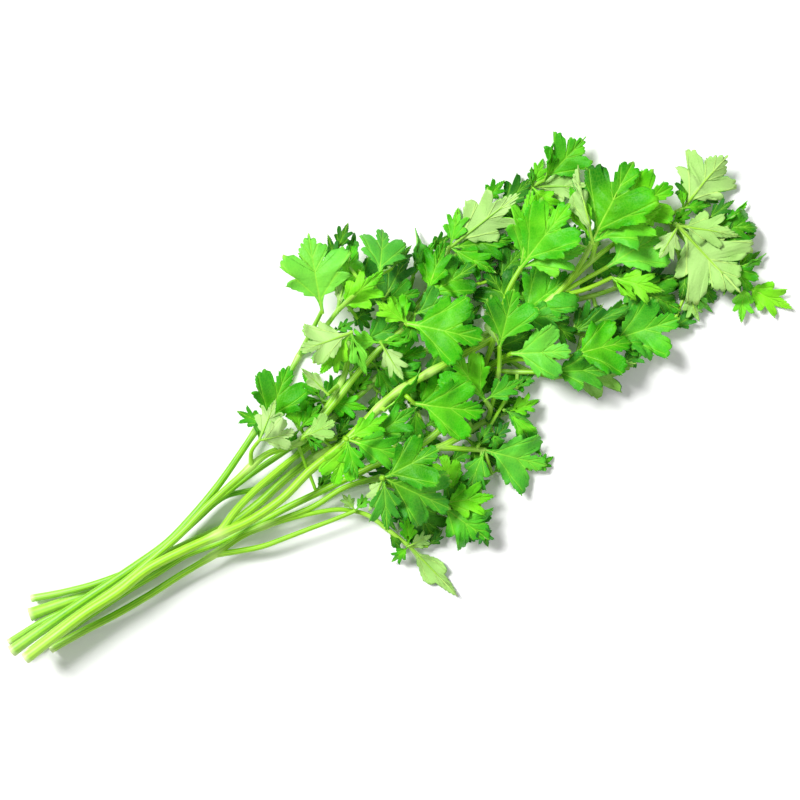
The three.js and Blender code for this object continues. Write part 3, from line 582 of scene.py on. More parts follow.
def mark_stalk(stem, centres, radii, distances):
    """Keeps where a laid stem or stalk runs, and marks its top."""
    for i in range(len(centres) - 1):
        steps = math.ceil(distances[i + 1] - distances[i])
        for j in range(steps + 1):
            place = centres[i] + (centres[i + 1] - centres[i]) * j / steps
            centrelines[stem].append([*place, radii[i]])
            patch = cells_round(all_tops, place, radii[i])
            np.maximum(patch, place[2] + radii[i], out=patch)


def grow_shoot(row, first_number):
    """One row of the plan, laid on what is there so far."""
    stem, root_radius, end_radius, points, leaflets = row
    root = nearest_place(stem, points[0])
    is_stem = root is None
    route = plan_route(points, STEM_STEP) if is_stem else plan_route([root] + points[1:], STALK_STEP)
    distances = running_length(route)
    radii = root_radius + (end_radius - root_radius) * distances / distances[-1]
    bounds = route_bounds(stem, route, radii, None if is_stem else root[2])
    if not is_stem:
        bounds[-1] = max(bounds[-1], root[2] - MAX_STALK_DIP * distances[-1])
    leaves = [Leaflet(*leaflet, number=first_number + i) for i, leaflet in enumerate(leaflets)]
    bounds[-1] = max([bounds[-1], *rises_needed(leaves, *route[-1], all_tops)])
    centres = np.column_stack([route, taut_heights(distances, bounds)])

    leaf_tops.setdefault(stem, empty_map())
    centrelines.setdefault(stem, [])
    lay_leaflets(leaves, centres[-1], (all_tops, leaf_tops[stem]))
    mark_stalk(stem, centres, radii, distances)
    return Shoot(stem, centres, radii, is_stem, leaves)


def view_place(right, down):
    """Where a place of the view lies on the floor, in the plan's millimetres."""
    right, down = right - VIEW_STEPS / 2, down - VIEW_STEPS / 2
    turn = math.radians(-VIEW_TURN)
    x = VIEW_STEP * (right * math.cos(turn) - down * math.sin(turn)) + VIEW_MIDDLE_X
    y = VIEW_STEP * (-right * math.sin(turn) - down * math.cos(turn)) + VIEW_MIDDLE_Y
    return np.array([x, y])


def low_leaflet(fork, tip, outline="side", face=TOP):
    """A low leaflet as the plan gives it, in whole degrees and millimetres."""
    x, y = view_place(*tip) - view_place(*fork)
    return outline, round(math.degrees(math.atan2(y, x))), round(math.hypot(x, y)), face


def grow_low_spray(row, first_number):
    """A low spray: its stalk goes down from its leafy stem, and its leaflets lie low on each other."""
    stem, fork, height, leaflets = row
    x, y = (round(number) for number in view_place(*fork))
    leaves = [Leaflet(*low_leaflet(fork, *leaflet), number=first_number + i)
              for i, leaflet in enumerate(leaflets)]
    root = nearest_place(stem, (x, y))[:3]
    end = np.array([x, y, max([height, *rises_needed(leaves, x, y, low_tops)])])
    part = np.linspace(0, 1, LOW_STALK_CORNERS)[:, None]
    centres = root + part * (end - root)
    centres[:, 2] = root[2] + smooth_step(part[:, 0], 0, 1) * (end[2] - root[2])
    lay_leaflets(leaves, end, (low_tops,))
    return Shoot(stem, centres, np.full(LOW_STALK_CORNERS, LOW_STALK_RADIUS), False, leaves)


def lay_rows(rows, grow, number):
    """Grows each row in turn, and numbers their leaflets on."""
    shoots = []
    for row in rows:
        shoots.append(grow(row, number))
        number += len(row[-1])
    return shoots


# ---- Node trees ----
class Value:
    """A socket of a node tree, used in sums."""

    def __init__(self, graph, socket):
        self.graph = graph
        self.socket = socket

    def _sum(self, operation, *others, clamp=False):
        settings = {"operation": operation, "use_clamp": clamp}
        inputs = dict(enumerate((self, *others)))
        return self.graph.value(self.graph.node("ShaderNodeMath", settings, inputs))

    __add__ = __radd__ = partialmethod(_sum, "ADD")
    __sub__ = partialmethod(_sum, "SUBTRACT")
    __mul__ = partialmethod(_sum, "MULTIPLY")
    __truediv__ = partialmethod(_sum, "DIVIDE")
    minimum = partialmethod(_sum, "MINIMUM")
    absolute = partialmethod(_sum, "ABSOLUTE")
    root = partialmethod(_sum, "SQRT")
    cosine = partialmethod(_sum, "COSINE")
    clamped = partialmethod(_sum, "ADD", 0.0, clamp=True)

    def __rsub__(self, other):
        return self * -1 + other

    def falling(self, near, far):
        """1 below near, 0 above far, and a smooth slope between."""
        settings = {"interpolation_type": "SMOOTHSTEP"}
        inputs = {0: self, 1: near, 2: far, 3: 1.0, 4: 0.0}
        return self.graph.value(self.graph.node("ShaderNodeMapRange", settings, inputs))

    def rising(self, near, far):
        return 1 - self.falling(near, far)


class Graph:
    """A node tree under construction."""

    def __init__(self, tree):
        self.tree = tree

    def node(self, kind, settings=None, inputs=None):
        """A node with its settings, and the value, socket or number of each given input."""
        node = self.tree.nodes.new(kind)
        for name, setting in (settings or {}).items():
            setattr(node, name, setting)
        for key, given in (inputs or {}).items():
            source = given.socket if isinstance(given, Value) else given
            if isinstance(source, bpy.types.NodeSocket):
                self.tree.links.new(source, node.inputs[key])
            else:
                node.inputs[key].default_value = source
        return node

    def value(self, node, output=0):
        return Value(self, node.outputs[output])

    def attribute(self, name):
        return self.value(self.node("ShaderNodeAttribute", {"attribute_name": name}), "Fac")

    def noise(self, scale, detail=3.0):
        """Noise between 0 and 1 over the object's own place."""
        place = self.node("ShaderNodeTexCoord").outputs["Object"]
        node = self.node("ShaderNodeTexNoise", None,
                         {"Vector": place, "Scale": scale, "Detail": detail, "Roughness": 0.5})
        return self.value(node, "Fac")

    def mix(self, factor, first, second):
        """A mix of two colours, each a colour or a socket."""
        colours = [(*given, 1) if isinstance(given, tuple) else given for given in (first, second)]
        node = self.node("ShaderNodeMix", {"data_type": "RGBA", "clamp_factor": True},
                         {0: factor, 6: colours[0], 7: colours[1]})
        return self.value(node, 2)

    def layered(self, base, *layers):
        """A base colour under layers, each a factor and a colour."""
        for factor, colour in layers:
            base = self.mix(factor, base, colour)
        return base

    def bump(self, height, depth, strength=1.0):
        """The normal of a bump, with its depth in millimetres."""
        node = self.node("ShaderNodeBump", None,
                         {"Strength": strength, "Distance": depth * MM, "Height": height})
        return node.outputs[0]


def make_finish(name, paint):
    """A material whose surface has the inputs that paint works out."""
    material = bpy.data.materials.new(name)
    material.use_nodes = True
    material.node_tree.nodes.clear()
    graph = Graph(material.node_tree)
    surface = graph.node("ShaderNodeBsdfPrincipled", None, paint(graph))
    graph.node("ShaderNodeOutputMaterial", None, {"Surface": surface.outputs[0]})
    return material


# ---- Finishes: colours, and scales of noise in cells per metre ----
# deep green of darker leaflets, and of painted shade
UPPER_DEEP = (0.003, 0.13, 0.001)
UPPER_FRESH = (0.055, 0.58, 0.001)
# pale green of lighter leaflets, and of the painted sheen and highlights on upper faces
UPPER_PALE_AND_SHEEN = (0.27, 0.80, 0.022)
# dull blue-green, partly the leaflets' own, partly a painted bluish sheen
DULL_DEEP = (0.016, 0.18, 0.024)
DULL_LIGHT = (0.12, 0.53, 0.07)
UNDER_DEEP = (0.22, 0.54, 0.06)
UNDER_LIGHT = (0.45, 0.71, 0.23)
VEIN_PALE = (0.34, 0.76, 0.05)
TOOTH_PALE = (0.50, 0.70, 0.10)
STEM_GREEN = (0.08, 0.40, 0.002)
STEM_PALE = (0.46, 0.86, 0.03)
COLLAR_PALE = (0.56, 0.86, 0.20)
CUT_PALE = (0.66, 0.84, 0.36)
FLOOR_PALE = (0.93, 0.93, 0.93)
FLOOR_PALEST = (0.96, 0.96, 0.95)

PAINTED_SHADING_SCALE = 28.0              # painted shade and light of undulating blades: deeper and fresher green, a leaflet or so wide
DULL_SCALE = 17.0               # dull blue-green over a few leaflets: partly their own duller green, partly painted bluish sheen
PATCH_SCALE = 90.0              # blotches as wide as a lobe: painted sheen and shade, and rougher, bumpier spots
UNDER_PATCH_SCALE = 70.0
PUCKER_SCALE = 300.0
STREAK_SCALE = 240.0
FLOOR_SCALE = 3.0
NET_SCALE = 26.0                # cells of the fine net in a leaflet's length
UPPER_RELIEF = 0.45             # depths of the bumps, in millimetres
UNDER_RELIEF = 0.20
STREAK_RELIEF = 0.15

# Veins of half a leaflet, as (start along, start across, end along, end across, width) of its outline.
VEINS = [
    (0.10, 0.00, 0.36, 0.37, 0.008),
    (0.14, 0.00, 0.70, 0.43, 0.009),
    (0.40, 0.20, 0.55, 0.38, 0.006),
    (0.50, 0.00, 0.77, 0.17, 0.007),
    (0.68, 0.00, 0.88, 0.10, 0.006),
]
VEIN_TAPER = 0.6                # how much of its width a vein loses
MIDRIB_WIDTH = 0.016            # at the base, as a part of the length
MIDRIB_TAPER = 0.011


def line_distance(along, across, vein):
    """Distance to one vein, divided by the vein's width, which narrows towards its end."""
    start_along, start_across, end_along, end_across, width = vein
    run_along, run_across = end_along - start_along, end_across - start_across
    length_squared = run_along ** 2 + run_across ** 2
    from_along, from_across = along - start_along, across - start_across
    part = ((from_along * run_along + from_across * run_across) / length_squared).clamped()
    off_along = from_along - part * run_along
    off_across = from_across - part * run_across
    return (off_along * off_along + off_across * off_across).root() / (width - part * (VEIN_TAPER * width))


def vein_distance(graph):
    """Distance to the nearest vein of a leaflet, in vein widths, by its own flat coordinates."""
    along = graph.attribute("along")
    across = graph.attribute("across").absolute()
    nearest = across / (MIDRIB_WIDTH - along * MIDRIB_TAPER)
    for vein in VEINS:
        nearest = nearest.minimum(line_distance(along, across, vein))
    return nearest


def net_distance(graph):
    """Distance to the fine net between the veins."""
    own_place = {i: graph.attribute(name) for i, name in enumerate(("along", "across", "tone"))}
    place = graph.node("ShaderNodeCombineXYZ", None, own_place)
    cells = graph.node("ShaderNodeTexVoronoi", {"feature": "DISTANCE_TO_EDGE"},
                       {"Vector": place.outputs[0], "Scale": NET_SCALE})
    return graph.value(cells, "Distance")


def paint_upper_face(graph):
    """Fresh green, blotched with painted shade and painted sheen, with paler veins that fan from the stalk,
    and a soft sheen.
    """
    veins, net = vein_distance(graph), net_distance(graph)
    patches = graph.noise(PATCH_SCALE)
    # painted shade and light: broad noise darkens and lightens the green as if the blades undulated
    painted_shading = graph.noise(PAINTED_SHADING_SCALE, 2.0)
    # the tone is lower on the low leaflets, by their painted shade
    light = graph.attribute("tone") * 0.5 + 0.5 + (painted_shading - 0.5) * 1.5 + (patches - 0.5) * 0.9
    dull = graph.noise(DULL_SCALE, 2.0) + graph.attribute("dull") * 0.3
    base = graph.layered(
        graph.mix(light.clamped(), UPPER_DEEP, UPPER_FRESH),
        # painted sheen: the lightest parts of a blade turn paler, and so do blotches
        ((light - 0.72).clamped() * 1.6, UPPER_PALE_AND_SHEEN),
        ((patches - 0.5).clamped() * 0.9, UPPER_PALE_AND_SHEEN),
        # painted light: paler towards the middle of the blade
        (graph.attribute("reach").falling(0.0, 0.9) * 0.16, UPPER_PALE_AND_SHEEN),
        (((dull - 0.45) * 2.2).clamped() * 0.65, graph.mix(light.clamped(), DULL_DEEP, DULL_LIGHT)),
        (net.falling(0.0, 0.14) * 0.10, VEIN_PALE),
        # painted light: a wide paler glow round the veins
        (veins.falling(1.5, 10.0) * 0.12, UPPER_PALE_AND_SHEEN),
        (veins.falling(0.3, 1.3) * 0.5, VEIN_PALE),
        (graph.attribute("tooth_tip") * 0.5, TOOTH_PALE))
    puckers = graph.noise(PUCKER_SCALE, 2.0)
    height = veins.rising(0.0, 5.0) * 0.4 + net.rising(0.0, 0.35) * 0.1 + patches * 0.4 + puckers * 0.8
    return {"Base Color": base, "Roughness": 0.38 + patches * 0.14, "Specular IOR Level": 0.16,
            "Normal": graph.bump(height, UPPER_RELIEF)}


def paint_under_face(graph):
    """Paler and dull, with its veins standing out."""
    veins, net = vein_distance(graph), net_distance(graph)
    patches = graph.noise(UNDER_PATCH_SCALE)
    # the tone is lower on the low leaflets, by their painted shade
    base = graph.layered(
        graph.mix(graph.attribute("tone") * 0.5 + 0.5, UNDER_DEEP, UNDER_LIGHT),
        (patches.falling(0.35, 0.6) * 0.35, UNDER_DEEP),
        (net.falling(0.0, 0.10) * 0.25, UNDER_LIGHT),
        (veins.falling(0.6, 1.8) * 0.7, COLLAR_PALE),
        (graph.attribute("tooth_tip") * 0.7, TOOTH_PALE))
    height = veins.falling(0.6, 2.6) + net.falling(0.0, 0.25) * 0.2 + patches * 0.2
    return {"Base Color": base, "Roughness": 0.62 + patches * 0.1, "Specular IOR Level": 0.25,
            "Normal": graph.bump(height, UNDER_RELIEF)}


def paint_stem(graph):
    """Ribbed: light and dark stripes, pale swollen collars at the forks and pale cut ends."""
    run = graph.attribute("run")
    stripes = (graph.attribute("around") * (2 * math.pi * STEM_RIBS)).cosine() * 0.5 + 0.5
    streaks = graph.noise(STREAK_SCALE, 2.0)
    light = (stripes * 0.5 + streaks * 0.4 + graph.attribute("tone") * 0.3 - 0.1).clamped()
    base = graph.layered(
        graph.mix(light, STEM_GREEN, STEM_PALE),
        (graph.attribute("collar") * 0.75, COLLAR_PALE),
        (run.falling(0.0, 30.0) * 0.30, COLLAR_PALE),
        (run.falling(0.05, 2.2), CUT_PALE))
    return {"Base Color": base, "Roughness": 0.34 + streaks * 0.18, "Specular IOR Level": 0.5,
            "Normal": graph.bump(streaks, STREAK_RELIEF, 0.6)}


def paint_floor(graph):
    """Matt and nearly white."""
    return {"Base Color": graph.mix(graph.noise(FLOOR_SCALE), FLOOR_PALE, FLOOR_PALEST), "Roughness": 0.9,
            "Specular IOR Level": 0.1}


# ---- Fine outlines ----
def smooth_step(values, low, high):
    part = np.clip((values - low) / (high - low), 0, 1)
    return part * part * (3 - 2 * part)


def stretch_points(start, end, way):
    """One stretch of a half outline, without its end: smooth parts, and notches between teeth."""
    bulge, begin, stop, notches = WAYS[way]
    even = np.arange(SMOOTH_POINTS) / SMOOTH_POINTS
    step = (stop - begin) / max(notches, 1)
    before = even * begin if begin > 0 else even[:0]
    after = stop + even * (1 - stop) if stop < 1 else even[:0]
    notched = [begin + (notch + NOTCH[:, 0]) * step for notch in range(notches)]
    part = np.concatenate([before, *notched, after])
    dents = np.concatenate([0 * before, *[NOTCH[:, 1] * step] * notches, 0 * after])
    rise = bulge * np.sin(math.pi * part) + dents
    outward = np.array([start[1] - end[1], end[0] - start[0], 0])
    return start + part[:, None] * (end - start) + rise[:, None] * outward


def half_outline(points, ways):
    """Fine points of a half outline, each with the place where its spoke leaves the midrib."""
    points = np.array(points)
    farthest = np.maximum.accumulate(points[:, 0])
    spine = SPINE_START + SPINE_REACH * farthest + SPINE_STEP * np.arange(len(points))
    points = np.column_stack([points, spine])
    half = np.concatenate([stretch_points(a, b, way) for a, b, way in zip(points, points[1:], ways)])
    return seen_from_spine(half)


def seen_from_spine(half):
    """The half outline, turned where one of its spokes would cross another."""
    off_spine = half[:, 0] - half[:, 2]
    away = np.hypot(off_spine, half[:, 1])
    angle = np.minimum.accumulate(np.arctan2(half[:, 1], off_spine)) - ANGLE_STEP * np.arange(len(half))
    return np.stack([half[:, 2] + away * np.cos(angle), away * np.sin(angle), half[:, 2]], axis=1)


def fine_outline(leaf):
    """The closed toothed outline, from the base along the left side, and each spoke's foot on the midrib."""
    rim = leaf.rim()
    count = len(leaf.outline)
    ways = STRETCHES[leaf.kind]
    left = half_outline(rim[:count + 1], ways)
    right = half_outline([(along, -across) for along, across in rim[:count - 1:-1]], ways)[::-1]
    spine_end = max(left[-1, 2], right[0, 2]) + SPINE_STEP
    outline = np.concatenate([[(0.0, 0.0)], left[:, :2], [(1.0, 0.0)], right[:, :2] * (1, -1)])
    along = np.concatenate([[SPINE_START - SPINE_STEP], left[:, 2], [spine_end], right[:, 2]])
    across = np.concatenate([[0], np.full(len(left), SPINE_SPLIT), [0], np.full(len(right), -SPINE_SPLIT)])
    return outline, np.stack([along, across], axis=1)


def toothness(outline):
    """1 at the points that stand out from their neighbours, down to 0 in the notches."""
    away = np.hypot(outline[:, 0] - HUB, outline[:, 1])
    around = np.stack([np.roll(away, shift) for shift in range(-TOOTH_WINDOW, TOOTH_WINDOW + 1)])
    low, high = around.min(0), around.max(0)
    return (away - low) / np.maximum(high - low, TOUCH)


# ---- Gathering and draping ----
class Gathered:
    """Points with their values, and the edges or faces that link them, gathered for one mesh."""

    def __init__(self):
        self.places, self.links, self.values = [], [], {}
        self.count = 0

    def add(self, places, links, **values):
        self.places.append(places - MIDDLE)
        self.links.extend([[corner + self.count for corner in link] for link in links])
        for name, given in values.items():
            self.values.setdefault(name, []).append(np.broadcast_to(given, len(places)))
        self.count += len(places)

    def mesh(self, name):
        """The mesh, whose links are edges where each has two corners."""
        mesh = bpy.data.meshes.new(name)
        edges, faces = (self.links, []) if len(self.links[0]) == 2 else ([], self.links)
        mesh.from_pydata(np.concatenate(self.places) * MM, edges, faces)
        for value, given in self.values.items():
            layer = mesh.attributes.new(value, "FLOAT", "POINT")
            layer.data.foreach_set("value", np.concatenate(given).astype(np.float32))
        mesh.shade_smooth()
        return mesh


class LeafyStem:
    """The blades and the lines of one leafy stem, gathered for its two pieces."""

    def __init__(self, number):
        self.number = number
        self.blades = Gathered()
        self.lines = Gathered()


fine_tops = np.zeros((FINE_COLUMNS, FINE_ROWS))


def fine_cell(places):
    """Columns and rows of the fine height map."""
    return (np.floor(places[:, 0] / FINE_CELL).astype(int) + FINE_COLUMNS // 2,
            np.floor(places[:, 1] / FINE_CELL).astype(int) + FINE_ROWS // 2)


def softened(bulge):
    """The mean of each cell and its eight neighbours."""
    rows = (np.roll(bulge, 1, 0) + bulge + np.roll(bulge, -1, 0)) / 3
    return (np.roll(rows, 1, 1) + rows + np.roll(rows, -1, 1)) / 3


def close_samples(values, rim_count):
    """Values between the rings of a blade, along its spokes."""
    rings = values.reshape(-1, rim_count, values.shape[1])
    parts = np.arange(RING_STEPS)[:, None, None, None] / RING_STEPS
    return (rings[:-1] * (1 - parts) + rings[1:] * parts).reshape(-1, values.shape[1])


class Bulge:
    """How far a blade is lifted, cell by cell, to drape over what is below it."""

    def __init__(self, samples, free):
        columns, rows = fine_cell(samples)
        self.corner = np.array([columns.min(), rows.min()]) - 2 * BULGE_REACH
        size = np.array([columns.max(), rows.max()]) + 2 * BULGE_REACH + 1 - self.corner
        need = fine_tops[columns, rows] + FINE_GAP + FINE_THICKNESS / 2 - samples[:, 2]
        cells = np.zeros(size)
        np.maximum.at(cells, (columns - self.corner[0], rows - self.corner[1]), need * free)
        for _ in range(BULGE_REACH):
            cells = spread(cells)
        for _ in range(BULGE_REACH):
            cells = softened(cells)
        self.cells = np.minimum(cells, MAX_BULGE)

    def lifted(self, places, lowest):
        """Places lifted by the bulge, blended between its cells, and none below the lowest height."""
        spots = places[:, :2] / FINE_CELL + (FINE_COLUMNS // 2, FINE_ROWS // 2) - self.corner - 0.5
        spots = np.clip(spots, 0, np.array(self.cells.shape) - 1.001)
        first = np.floor(spots).astype(int)
        part = spots - first
        i, j = first.T
        near = self.cells[i, j] * (1 - part[:, 1]) + self.cells[i, j + 1] * part[:, 1]
        far = self.cells[i + 1, j] * (1 - part[:, 1]) + self.cells[i + 1, j + 1] * part[:, 1]
        heights = places[:, 2] + (near * (1 - part[:, 0]) + far * part[:, 0])
        return np.column_stack([places[:, :2], np.maximum(heights, lowest)])


# ---- Fine leaflets ----
def blade_faces(rim_count):
    """Quads between the rings of a blade, and a narrow ladder along its midrib."""
    faces = []
    for j in range(rim_count):
        following = (j + 1) % rim_count
        for ring in range(len(RINGS) - 1):
            inner, outer = ring * rim_count, (ring + 1) * rim_count
            faces.append([inner + j, inner + following, outer + following, outer + j])
    for j in range(rim_count // 2):
        ladder = [j + 1, j, (rim_count - j) % rim_count, rim_count - j - 1]
        faces.append(list(dict.fromkeys(ladder)))
    return faces


def waved(leaf, flat):
    """The blade's surface with waves round its edge, and its lobes curled up or down."""
    local = leaf.surface(flat[:, 0], flat[:, 1])
    turn = np.arctan2(flat[:, 1], flat[:, 0] - HUB)
    out = np.hypot(flat[:, 1], flat[:, 0] - HUB) / (1 - HUB)
    waves = WAVES + round(leaf.drawn("waves"))
    free = smooth_step(flat[:, 0], 0.0, FREE_PART)
    local[:, 2] += free * PLEAT * leaf.length * out ** 2 * np.cos(waves * turn + leaf.phase)
    local[:, 2] += free * leaf.drawn("curl") * leaf.length * out ** 3
    return local, free


def add_blade(leafy_stem, leaf, base):
    """A leaflet's blade and midrib, draped over what is below it."""
    outline, spine = fine_outline(leaf)
    count = len(outline)
    flat = np.concatenate([spine + ring * (outline - spine) for ring in RINGS])
    reach = np.repeat(RINGS, count)
    local, free = waved(leaf, flat)
    places = leaf.turned(local) + base
    samples = close_samples(np.column_stack([places, free]), count)
    bulge = Bulge(samples[:, :3], samples[:, 3])
    places = bulge.lifted(places, LOWEST_BLADE)
    samples = close_samples(places, count)
    np.maximum.at(fine_tops, fine_cell(samples), samples[:, 2] + FINE_THICKNESS / 2)
    # painted shade: the low leaflets under the bunch get a darker tone
    shade = LOW_PAINTED_SHADE if leaf.number >= FIRST_LOW_NUMBER else 0
    teeth = np.tile(toothness(outline), len(RINGS)) * TOOTH_TIP - (TOOTH_TIP - 1)
    leafy_stem.blades.add(
        places, blade_faces(count), along=flat[:, 0], across=flat[:, 1], reach=reach,
        tone=LEAF_TONES[leafy_stem.number] + leaf.drawn("tone") - shade,
        dull=leaf.drawn("dull"), tooth_tip=np.clip(teeth, 0, 1) * (reach > EDGE_RING))
    add_midrib(leafy_stem, leaf, base, bulge)


def add_midrib(leafy_stem, leaf, base, bulge):
    """A leaflet's own stalk, which runs on as the midrib under its blade."""
    along = np.linspace(*MIDRIB, MIDRIB_POINTS)
    local = leaf.surface(along, np.zeros(MIDRIB_POINTS))
    radii = np.interp(along, [MIDRIB[0], 0.2, MIDRIB[1]], [1.0, 0.75, 0.22]) * MIDRIB_RADIUS
    radii = radii * (leaf.length / USUAL_LENGTH) ** 0.5
    local[:, 2] -= radii * np.interp(along, [0.0, 0.25], [0.2, 0.75])
    places = bulge.lifted(leaf.turned(local) + base, radii * (1 + RIB_DEPTH))
    add_line(leafy_stem, places, radii, MIDRIB_COLLAR, FAR_FROM_CUT, STEM_TONES[leafy_stem.number])


def place_piece(name, data):
    """A new object in the scene, at the origin."""
    piece = bpy.data.objects.new(name, data)
    bpy.context.scene.collection.objects.link(piece)
    return piece


def make_leaflets(leafy_stem, finishes):
    """The piece of a leafy stem's blades, with their two faces."""
    name = f"leaflets_{leafy_stem.number}"
    piece = place_piece(name, leafy_stem.blades.mesh(name))
    for finish in finishes:
        piece.data.materials.append(finish)
    shell = piece.modifiers.new("blade_thickness", "SOLIDIFY")
    shell.thickness = FINE_THICKNESS * MM
    shell.offset = 0
    shell.material_offset = 1
    return piece


# ---- Ribbed stems and stalks ----
def ribbed_tube_tree():
    """Geometry nodes: a ribbed tube along each line of the mesh, as thick as the line's radius."""
    tree = bpy.data.node_groups.new("ribbed_tubes", "GeometryNodeTree")
    graph = Graph(tree)
    for name, kind in (("Lines", "Geometry"), ("Sides", "Int"), ("Ribs", "Float"), ("Rib depth", "Float"),
                       ("Skin", "Material")):
        tree.interface.new_socket(name, in_out="INPUT", socket_type=f"NodeSocket{kind}")
    tree.interface.new_socket("Tubes", in_out="OUTPUT", socket_type="NodeSocketGeometry")
    given = graph.node("NodeGroupInput")

    position = graph.node("GeometryNodeInputPosition").outputs[0]
    place = graph.node("ShaderNodeSeparateXYZ", None, {0: position})
    turn = graph.value(graph.node("ShaderNodeMath", {"operation": "ARCTAN2"},
                                  {0: place.outputs[1], 1: place.outputs[0]}))
    swell = (turn * graph.value(given, "Ribs")).cosine() * graph.value(given, "Rib depth")
    outwards = graph.node("ShaderNodeVectorMath", {"operation": "SCALE"}, {0: position, "Scale": swell})
    circle = graph.node("GeometryNodeCurvePrimitiveCircle", None,
                        {"Resolution": given.outputs["Sides"], "Radius": 1.0})
    marked = graph.node("GeometryNodeStoreNamedAttribute", {"data_type": "FLOAT", "domain": "POINT"},
                        {"Geometry": circle.outputs[0], "Name": "around", "Value": turn * (0.5 / math.pi)})
    ribbed = graph.node("GeometryNodeSetPosition", None,
                        {"Geometry": marked.outputs[0], "Offset": outwards.outputs[0]})

    radius = graph.node("GeometryNodeInputNamedAttribute", {"data_type": "FLOAT"}, {"Name": "radius"})
    lines = graph.node("GeometryNodeMeshToCurve", None, {"Mesh": given.outputs["Lines"]})
    tubes = graph.node("GeometryNodeCurveToMesh", None,
                       {"Curve": lines.outputs[0], "Profile Curve": ribbed.outputs[0],
                        "Scale": radius.outputs[0], "Fill Caps": True})
    skinned = graph.node("GeometryNodeSetMaterial", None,
                         {"Geometry": tubes.outputs[0], "Material": given.outputs["Skin"]})
    real = graph.node("GeometryNodeRealizeInstances", None, {"Geometry": skinned.outputs[0]})
    graph.node("NodeGroupOutput", None, {0: real.outputs[0]})
    return tree


def add_line(leafy_stem, places, radii, collar, run, tone):
    """A line for a tube to follow, with what its skin reads."""
    steps = [(i, i + 1) for i in range(len(places) - 1)]
    leafy_stem.lines.add(places, steps, radius=radii * MM, collar=collar, run=run, tone=tone)


def add_stalk(leafy_stem, shoot, forks):
    """One stem or stalk: a smooth line through its corners, with a swollen collar at each fork."""
    smooth = smooth_route(np.column_stack([shoot.centres, shoot.radii]))
    places, radii = smooth[:, :3], smooth[:, 3].copy()
    collar = np.zeros(len(places))
    for fork in forks:
        away = np.linalg.norm(places - fork, axis=1)
        collar = np.maximum(collar, np.exp(-(away / COLLAR_REACH) ** 2))
    run = running_length(places)
    if shoot.is_stem:
        radii *= 1 + CUT_SWELL * np.exp(-run / CUT_REACH)
    else:
        collar *= STALK_COLLAR
        run += FAR_FROM_CUT
    radii *= 1 + COLLAR_SWELL * collar
    places[:, 2] = np.maximum(places[:, 2], radii * (1 + RIB_DEPTH))
    tone = STEM_TONES[shoot.stem] + TONE_SPREAD * draw(len(places), shoot.stem)
    add_line(leafy_stem, places, radii, collar, run, tone)
    mark_fine_top(places, radii)


def mark_fine_top(places, radii):
    """Marks the top of a stem or stalk in the fine height map."""
    steps = np.linspace(0, len(places) - 1, MARKS_ALONG * len(places))
    x, y, z, radius = (np.interp(steps, np.arange(len(places)), values) for values in (*places.T, radii))
    run_x, run_y = np.gradient(x), np.gradient(y)
    length = np.hypot(run_x, run_y) + TINY
    for side in np.linspace(-1, 1, MARKS_ACROSS):
        spots = np.stack([x - side * radius * run_y / length, y + side * radius * run_x / length], axis=1)
        np.maximum.at(fine_tops, fine_cell(spots), z + radius * math.sqrt(1 - side * side))


def make_stalks(leafy_stem, tree, skin):
    """The piece of a leafy stem's tubes: its stem, its stalks and its leaflets' midribs."""
    drawn = place_piece("lines", leafy_stem.lines.mesh("lines"))
    modifier = drawn.modifiers.new("ribbed_tubes", "NODES")
    modifier.node_group = tree
    sizes = {"Sides": SIDES_PER_RIB * STEM_RIBS, "Ribs": float(STEM_RIBS), "Rib depth": RIB_DEPTH,
             "Skin": skin}
    for socket in tree.interface.items_tree:
        if socket.name in sizes:
            modifier[socket.identifier] = sizes[socket.name]
    bpy.context.view_layer.update()
    evaluated = drawn.evaluated_get(bpy.context.evaluated_depsgraph_get())
    mesh = bpy.data.meshes.new_from_object(evaluated)
    bpy.data.objects.remove(drawn)
    mesh.name = f"stalks_{leafy_stem.number}"
    mesh.shade_smooth()
    mesh.set_sharp_from_angle(angle=math.radians(SHARP_EDGE))
    return place_piece(mesh.name, mesh)


# ---- Floor, light and camera, in metres ----
FLOOR_SIZE = 6.0
VIEW_HEIGHT = 0.008                    # height of the leaves
VIEW_CENTRE = (0.0103, 0.0031)         # the middle of the view, in the frame of the pieces
LENS = 100
SENSOR = 36
SKY_STRENGTH = 0.31
LIT_PLACE = (0, 0, 0.02)               # what the lights face
# Place, size and power of each light.
LIGHTS = {"key": ((-1.8, 3.0, 4.4), 1.8, 400), "fill": ((3.2, -2.0, 3.6), 4.0, 64)}


def make_floor():
    half = FLOOR_SIZE / 2
    corners = [(-half, -half, 0), (half, -half, 0), (half, half, 0), (-half, half, 0)]
    mesh = bpy.data.meshes.new("floor")
    mesh.from_pydata(corners, [], [[0, 1, 2, 3]])
    mesh.materials.append(make_finish("pale_floor", paint_floor))
    place_piece("floor", mesh)


def make_light(name, place, size, power):
    """A square lamp that faces the bunch."""
    light = bpy.data.lights.new(name, "AREA")
    light.size = size
    light.energy = power
    lamp = place_piece(name, light)
    lamp.location = place
    direction = np.array(LIT_PLACE) - np.array(place)
    pitch = math.acos(-direction[2] / np.linalg.norm(direction))
    lamp.rotation_euler = (pitch, 0, math.atan2(direction[1], direction[0]) - math.pi / 2)


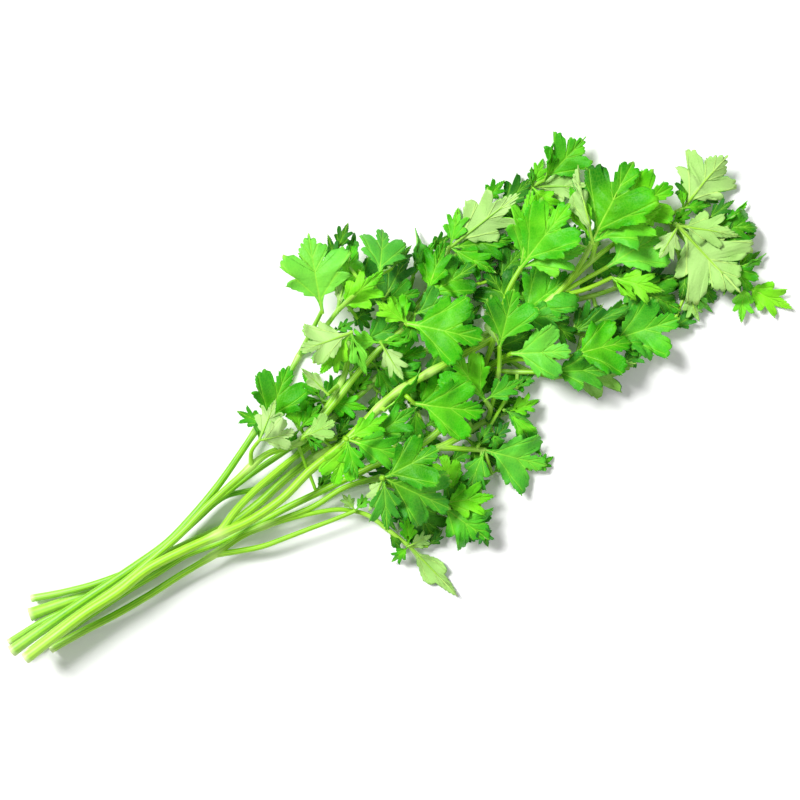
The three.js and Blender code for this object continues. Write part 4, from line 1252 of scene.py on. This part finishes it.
def make_studio():
    """A white world, two lights and plain colours."""
    world = bpy.data.worlds.new("studio")
    world.use_nodes = True
    background = world.node_tree.nodes["Background"]
    background.inputs["Color"].default_value = (1, 1, 1, 1)
    background.inputs["Strength"].default_value = SKY_STRENGTH
    scene = bpy.context.scene
    scene.world = world
    for name, setting in LIGHTS.items():
        make_light(name, *setting)
    scene.view_settings.view_transform = "Standard"
    scene.view_settings.look = "None"


def make_camera():
    """Straight above the bunch, turned so that it rises to the right across the view."""
    data = bpy.data.cameras.new("camera")
    data.lens = LENS
    data.sensor_width = SENSOR
    data.clip_start = 0.01
    camera = place_piece("camera", data)
    camera.location = (*VIEW_CENTRE, VIEW_HEIGHT + VIEW_WIDTH * LENS / SENSOR)
    camera.rotation_euler = (0, 0, math.radians(VIEW_TURN))
    bpy.context.scene.camera = camera


# ---- The scene ----
def gather_leafy_stems():
    """All leafy stems, with their blades and lines, the low sprays first."""
    laid_shoots = lay_rows(PLAN, grow_shoot, 0)
    shoots = lay_rows(LOW_SPRAYS, grow_low_spray, FIRST_LOW_NUMBER) + laid_shoots
    leafy_stems = {number: LeafyStem(number) for number in sorted({shoot.stem for shoot in laid_shoots})}
    for shoot in shoots:
        own = leafy_stems[shoot.stem]
        for leaf in shoot.leaves:
            add_blade(own, leaf, shoot.centres[-1])
        add_stalk(own, shoot, [other.centres[0] for other in shoots
                               if other.stem == shoot.stem and not other.is_stem])
    return leafy_stems.values()


def dress_bunch():
    """Two fine pieces in the place of each leafy stem of the model."""
    tube_tree = ribbed_tube_tree()
    skin = make_finish("stem_skin", paint_stem)
    blade_finishes = (make_finish("leaflet_upper_face", paint_upper_face),
                      make_finish("leaflet_under_face", paint_under_face))
    for leafy_stem in gather_leafy_stems():
        stalks = make_stalks(leafy_stem, tube_tree, skin)
        leaflets = make_leaflets(leafy_stem, blade_finishes)
        for piece, slot in ((stalks, "stem"), (leaflets, "leaf")):
            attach(piece, "root")
            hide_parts(f"leafy_stem_{leafy_stem.number}")


make_camera()
make_studio()
make_floor()
dress_bunch()
